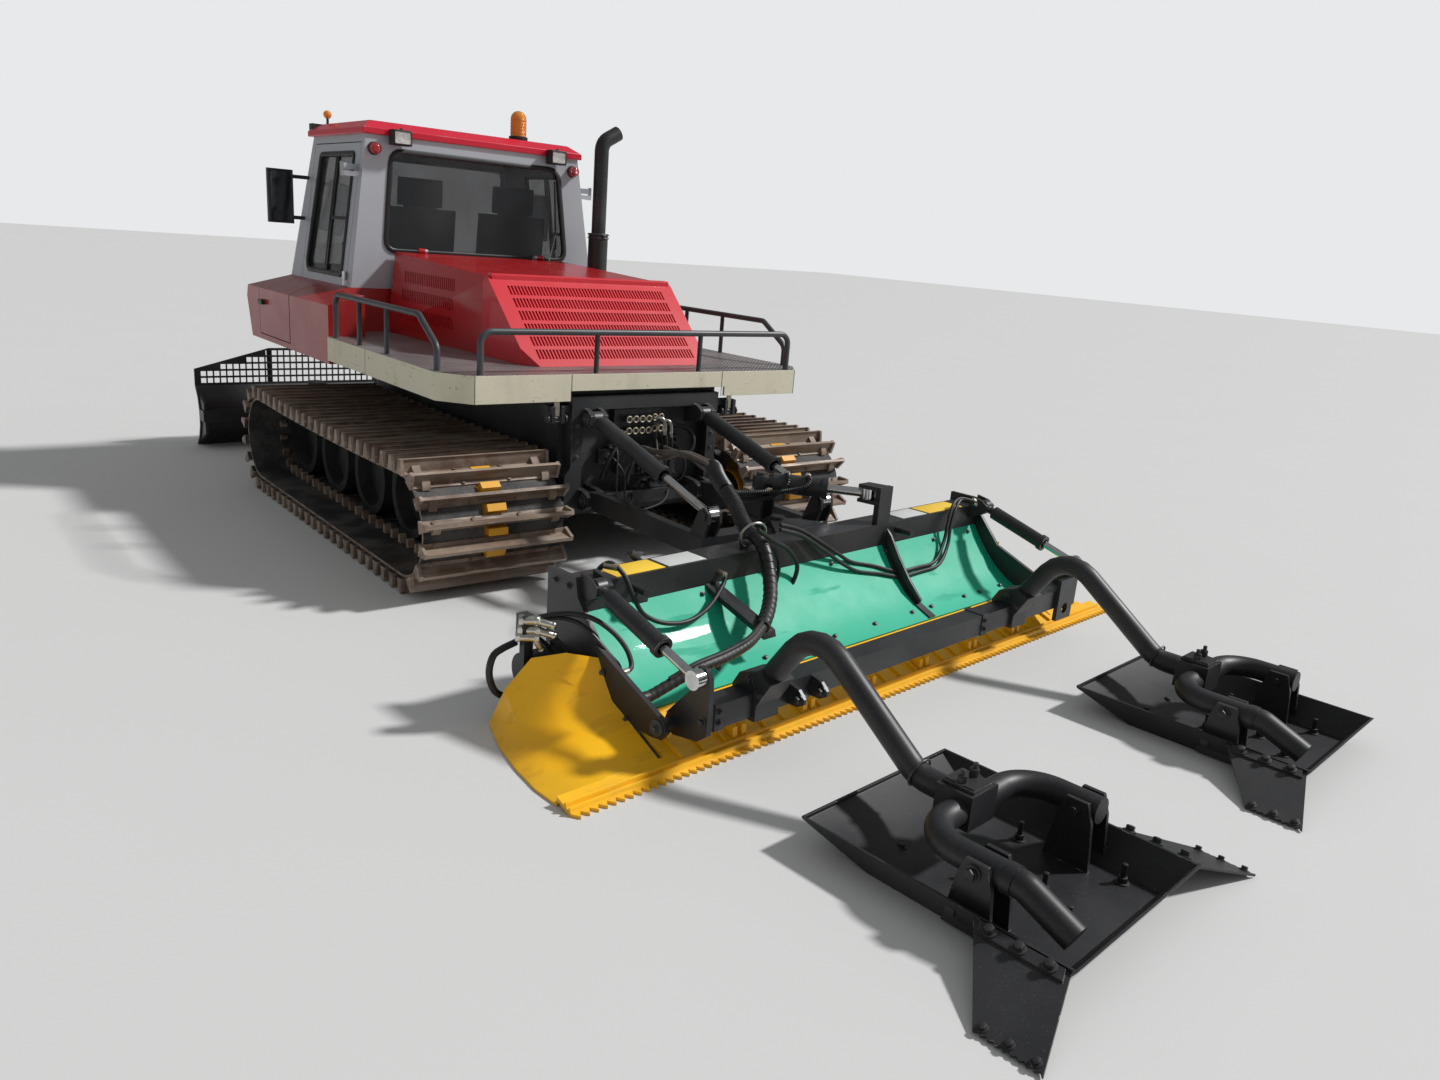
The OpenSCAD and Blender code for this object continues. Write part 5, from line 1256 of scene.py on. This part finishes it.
ends.rod((-1236, 258, 522), (-1236, 262, 526), 12, sides=6)
for x in (-694, -640):
    ends.rod((x, 299, 358), (x, 280, 358), 13, sides=20)
ends.rod((-689, 299, 310), (-689, 284, 310), 11, sides=6)
ends.rod((1236, 262, 534), (1208, 276, 546), 13, sides=6)
ends.rod((1240, 258, 516), (1214, 272, 530), 13, sides=6)
ends.done("nickel_ends", "rear_tool", nickel, "coupler_steel", 0.6)

# %% [markdown]
# ## Beam, cover and pans
#
# Pale sheets and yellow ones lie on the beam, and a yellow strip edges each side plate. Bolts hold
# the cover's two edges. The drag pans have heavy bolts, five of them with tall studs.

# %% Beam: cover plates, bolts, a brace and a handle
BEAM_TOP, SIDE_PLATE = 505, 1320


def top_sheet(kit, left, right):
    """Thin sheet on the beam from left to right."""
    kit.box((left, 312, BEAM_TOP), (right, 428, BEAM_TOP + 2.5))


blank_grey = moulded("blank_grey", (0.60, 0.62, 0.60), (0.50, 0.50, 0.47), 0.45, 0.3)
sun_yellow = moulded("sun_yellow", (0.92, 0.60, 0.05), (0.80, 0.52, 0.08), 0.45, 0.3)
kit = Kit(TOOL)
top_sheet(kit, 661, 860)
top_sheet(kit, -860, -661)
kit.done("beam_plates", "rear_tool", blank_grey, "cab_silver", 0.8)
kit = Kit(TOOL)
top_sheet(kit, 880, 1174)
top_sheet(kit, -1120, -880)
STRIP = [(150, 285), (100, 205), (60, 151), (-60, 100), (-56, 92), (66, 141), (110, 199), (160, 281)]
for side in SIDES:
    kit.plate([(side * SIDE_PLATE, y, z) for y, z in STRIP], (side * 4, 0, 0))
kit.done("beam_stripes", "rear_tool", sun_yellow, "tooth_yellow", 0.8)
kit = Kit(TOOL)
kit.plate([(-672, 299.5, 404), (-600, 299.5, 404), (-560, 0, 284), (-632, 0, 284)], (0, -10, -28))
kit.tube([(-1500, 400, 300), (-1560, 400, 286), (-1595, 400, 266), (-1610, 400, 210),
          (-1596, 400, 150), (-1566, 400, 112), (-1500, 400, 80)], 13, 14, 14)
kit.rod((-1011, 301, 400), (-1011, 292, 400), 34, sides=32)
kit.rod((-939, 460, 535), (-866, 460, 468), 16, sides=20)
for side in SIDES:
    for y, z in ((420, 500), (340, 500), (430, 250), (330, 230)):
        kit.bolt((side * SIDE_PLATE, y, z), (side, 0, 0), 10)
kit.done("beam_parts", "rear_tool", tool_black, "tool_black", 1.0)
kit = Kit(TOOL)
kit.bolt((-807, 53, 155), (0, -0.6, 0.8), 8)
for x in (-560, -126, 151, 432, 584, 863, 998, 1187):
    kit.bolt((x, 36, 150), (0, -0.6, 0.8), 8)
for x in (-1140, -700, -300, 100, 500, 900, 1210):
    kit.bolt((x, 281, 374), (0, -0.86, 0.5), 8)
for side in SIDES:
    kit.rod((side * SIDE_PLATE, -181, 144), (side * (SIDE_PLATE + 7), -181, 144), 32, 30, sides=32)
    kit.bolt((side * (SIDE_PLATE + 7), -181, 144), (side, 0, 0), 12)
    for y, z in ((120, 240), (-20, 112)):
        kit.bolt((side * (SIDE_PLATE + 4), y, z), (side, 0, 0), 8)
kit.done("cover_bolts", "rear_tool", rail_grey, "tool_black", 0.5)

# %% Bolts and studs of the drag pans
PAN_Y, WING_X, WING_Z, WING_TILT = -1270, -365, 93, math.radians(18.4)
LEAN, RISE = math.sin(WING_TILT), math.cos(WING_TILT)
INNER_BOLTS = [(-26, y, 14) for y in (-215, -300, -385)]
OUTER_BOLTS = [(-262, y, 10) for y in (-350, -420, -490)]
for name, cx, wings in (("left", -926, (1, -1)), ("right", 762, (1,))):
    kit = Kit(TOOL)
    for x, y in ((-75, -275), (255, -275), (215, 45), (-85, 20), (20, -150)):
        kit.bolt((cx + x, PAN_Y + y, 8), (0, 0, 1), 15, 0.7, stud=42)
    for x, y in ((-90, 350), (-125, 250), (140, 330), (60, 240)):
        kit.bolt((cx + x, PAN_Y + y, 8), (0, 0, 1), 13, 0.5)
    for x in (-330.5, 330.5):
        for y, z in ((-110, 190), (-70, 60)):
            kit.bolt((cx + x, PAN_Y + y, z), (math.copysign(1, x), 0, 0), 17)
    for wing in wings:
        for across, y, size in INNER_BOLTS + OUTER_BOLTS:
            x, z = WING_X + across * RISE, WING_Z + across * LEAN
            above = 15 if across > -100 else 8
            foot = (cx + wing * (x - above * LEAN), PAN_Y + y, z + above * RISE)
            kit.bolt(foot, (-LEAN * wing, 0, RISE), size)
    kit.done(f"pan_bolts_{name}", f"pan_{name}_body", pan_black, "pan_black", 0.6)

# %% Bolts of the setter bar and of the clamps round the tow tubes
kit = Kit(TOOL)
for x in (-820, -696):
    kit.bolt((x + 7, -376, 194), (1, 0, 0), 15)
    kit.bolt((x - 7, -376, 194), (-1, 0, 0), 15)
for middle in (-950, 738):
    kit.box((middle - 52, -1208, 252), (middle + 52, -1098, 262))
    for x in (-34, 34):
        kit.bolt((middle + x, -1153, 262), (0, 0, 1), 14, 0.7, stud=26)
    for x in (-60, 60):
        for y, z in ((-300, 290), (-350, 250)):
            kit.bolt((middle + x, y, z), (math.copysign(1, x), 0, 0), 13)
    kit.hoop((middle, -985, 213), 47, 4, 20, 8, 10, two=(0, -14 / 47, 1))
for side in SIDES:
    kit.bolt((side * 1246, -300, 350), (side, 0, 0), 13)
    kit.bolt((side * 1246, -320, 200), (side, 0, 0), 13)
for x in (-1174, 457):
    for z in (180, 220):
        kit.bolt((x, -329, z), (0, -1, 0), 9)
kit.done("setter_bolts", "setter", tool_black, "tool_black", 0.5)

# %% Hoses of the swing cylinder
kit, ends = Kit(VEHICLE), Kit(VEHICLE)
kit.tube([(-130, -800, 600), (-70, -850, 598), (24, -900, 604), (100, -975, 618), (160, -1040, 645),
          (196, -1050, 676), (208, -1024, 692)], ribbed(13, 1.6, 9.0), 12, 2.25)
kit.tube([(-120, -790, 570), (-60, -840, 566), (20, -890, 572), (80, -945, 600), (118, -975, 650),
          (132, -966, 684), (140, -950, 694)], ribbed(12, 1.5, 9.0), 12, 2.25)
kit.done("swing_hoses", "swing_barrel_body", hose_black, "hose_black")
ends.rod((208, -1022, 702), (214, -1004, 676), 15, sides=6)
ends.rod((140, -948, 704), (148, -935, 676), 15, sides=6)
ends.done("swing_ends", "swing_barrel_body", nickel, "coupler_steel", 0.6)

# %% [markdown]
# ## Painted shade behind slots
#
# The engine room is dark. A matt black sheet of painted shade stands behind the slots of the
# grille and of the hood, so that the slots read as black gaps between red bars.

# %% Painted shade behind the slots
# Painted shade: a near-black matt finish that stands in for the dark of the engine room
slot_shade = rubber_finish("slot_shade", (0.004, 0.004, 0.004), (0.012, 0.011, 0.010), 0.3, 0.9)
kit = Kit(VEHICLE)
kit.plate([(-470, 330, 960), (470, 330, 960), (560, 740, 1425), (-560, 740, 1425)], (0, 10, -8))
for side in SIDES:
    kit.plate([(side * 500, 330, 960), (side * 545, 420, 960), (side * 560, 740, 960),
               (side * 555, 740, 1420), (side * 500, 690, 1380)], (-side * 8, 0, 0))
    kit.plate([(side * 555, 790, 1080), (side * 560, 1820, 1080), (side * 555, 1780, 1440),
               (side * 550, 800, 1400)], (-side * 8, 0, 0))
kit.done("slot_shade_screens", "hood_lid", slot_shade, "hood_red")

# %% Curved guard over the cover, and the clamp of the exhaust
kit = Kit(TOOL)
inner = [(300, 412), (262, 354), (205, 284), (135, 217), (62, 168)]
outer = [(292, 480), (262, 452), (206, 366), (128, 270), (50, 190)]
kit.skin([[(508, *low), (508, *high), (522, *high), (522, *low)] for low, high in zip(inner, outer)])
kit.done("cover_guard", "rear_tool", tool_black, "tool_black", 1.5)
kit = Kit(VEHICLE)
for z in (1722, 1700):
    kit.hoop((765, 1795, z), 69, 5, 24, 8, 12)
kit.rod((765, 1726, 1711), (765, 1716, 1711), 12, sides=6)
kit.done("exhaust_clamp", "chassis", rail_grey, "exhaust_black", 0.5)

# %% [markdown]
# ## Floor
#
# The floor is one pale sheet that keeps the machine's shadow. Its colour, and the room as the
# camera sees it, make the background bright without more light on the machine.

# %% Floor
FLOOR_HALF = 60.0
FLOOR_DROP = -0.0006
bm = bmesh.new()
bmesh.ops.create_grid(bm, x_segments=4, y_segments=4, size=FLOOR_HALF)
mesh = bpy.data.meshes.new("floor")
bm.to_mesh(mesh)
bm.free()
floor = bpy.data.objects.new("floor", mesh)
floor.location.z = FLOOR_DROP
bpy.context.scene.collection.objects.link(floor)
ground = Paint("floor")
ground.set(base_color=ground.mix(ground.noise(0.8, 5) * 0.3, (0.60, 0.60, 0.59), (0.55, 0.55, 0.54)))
ground.set(roughness=0.8)
mesh.materials.append(ground.material)

# %% The scene brought up to date
bpy.context.view_layer.update()
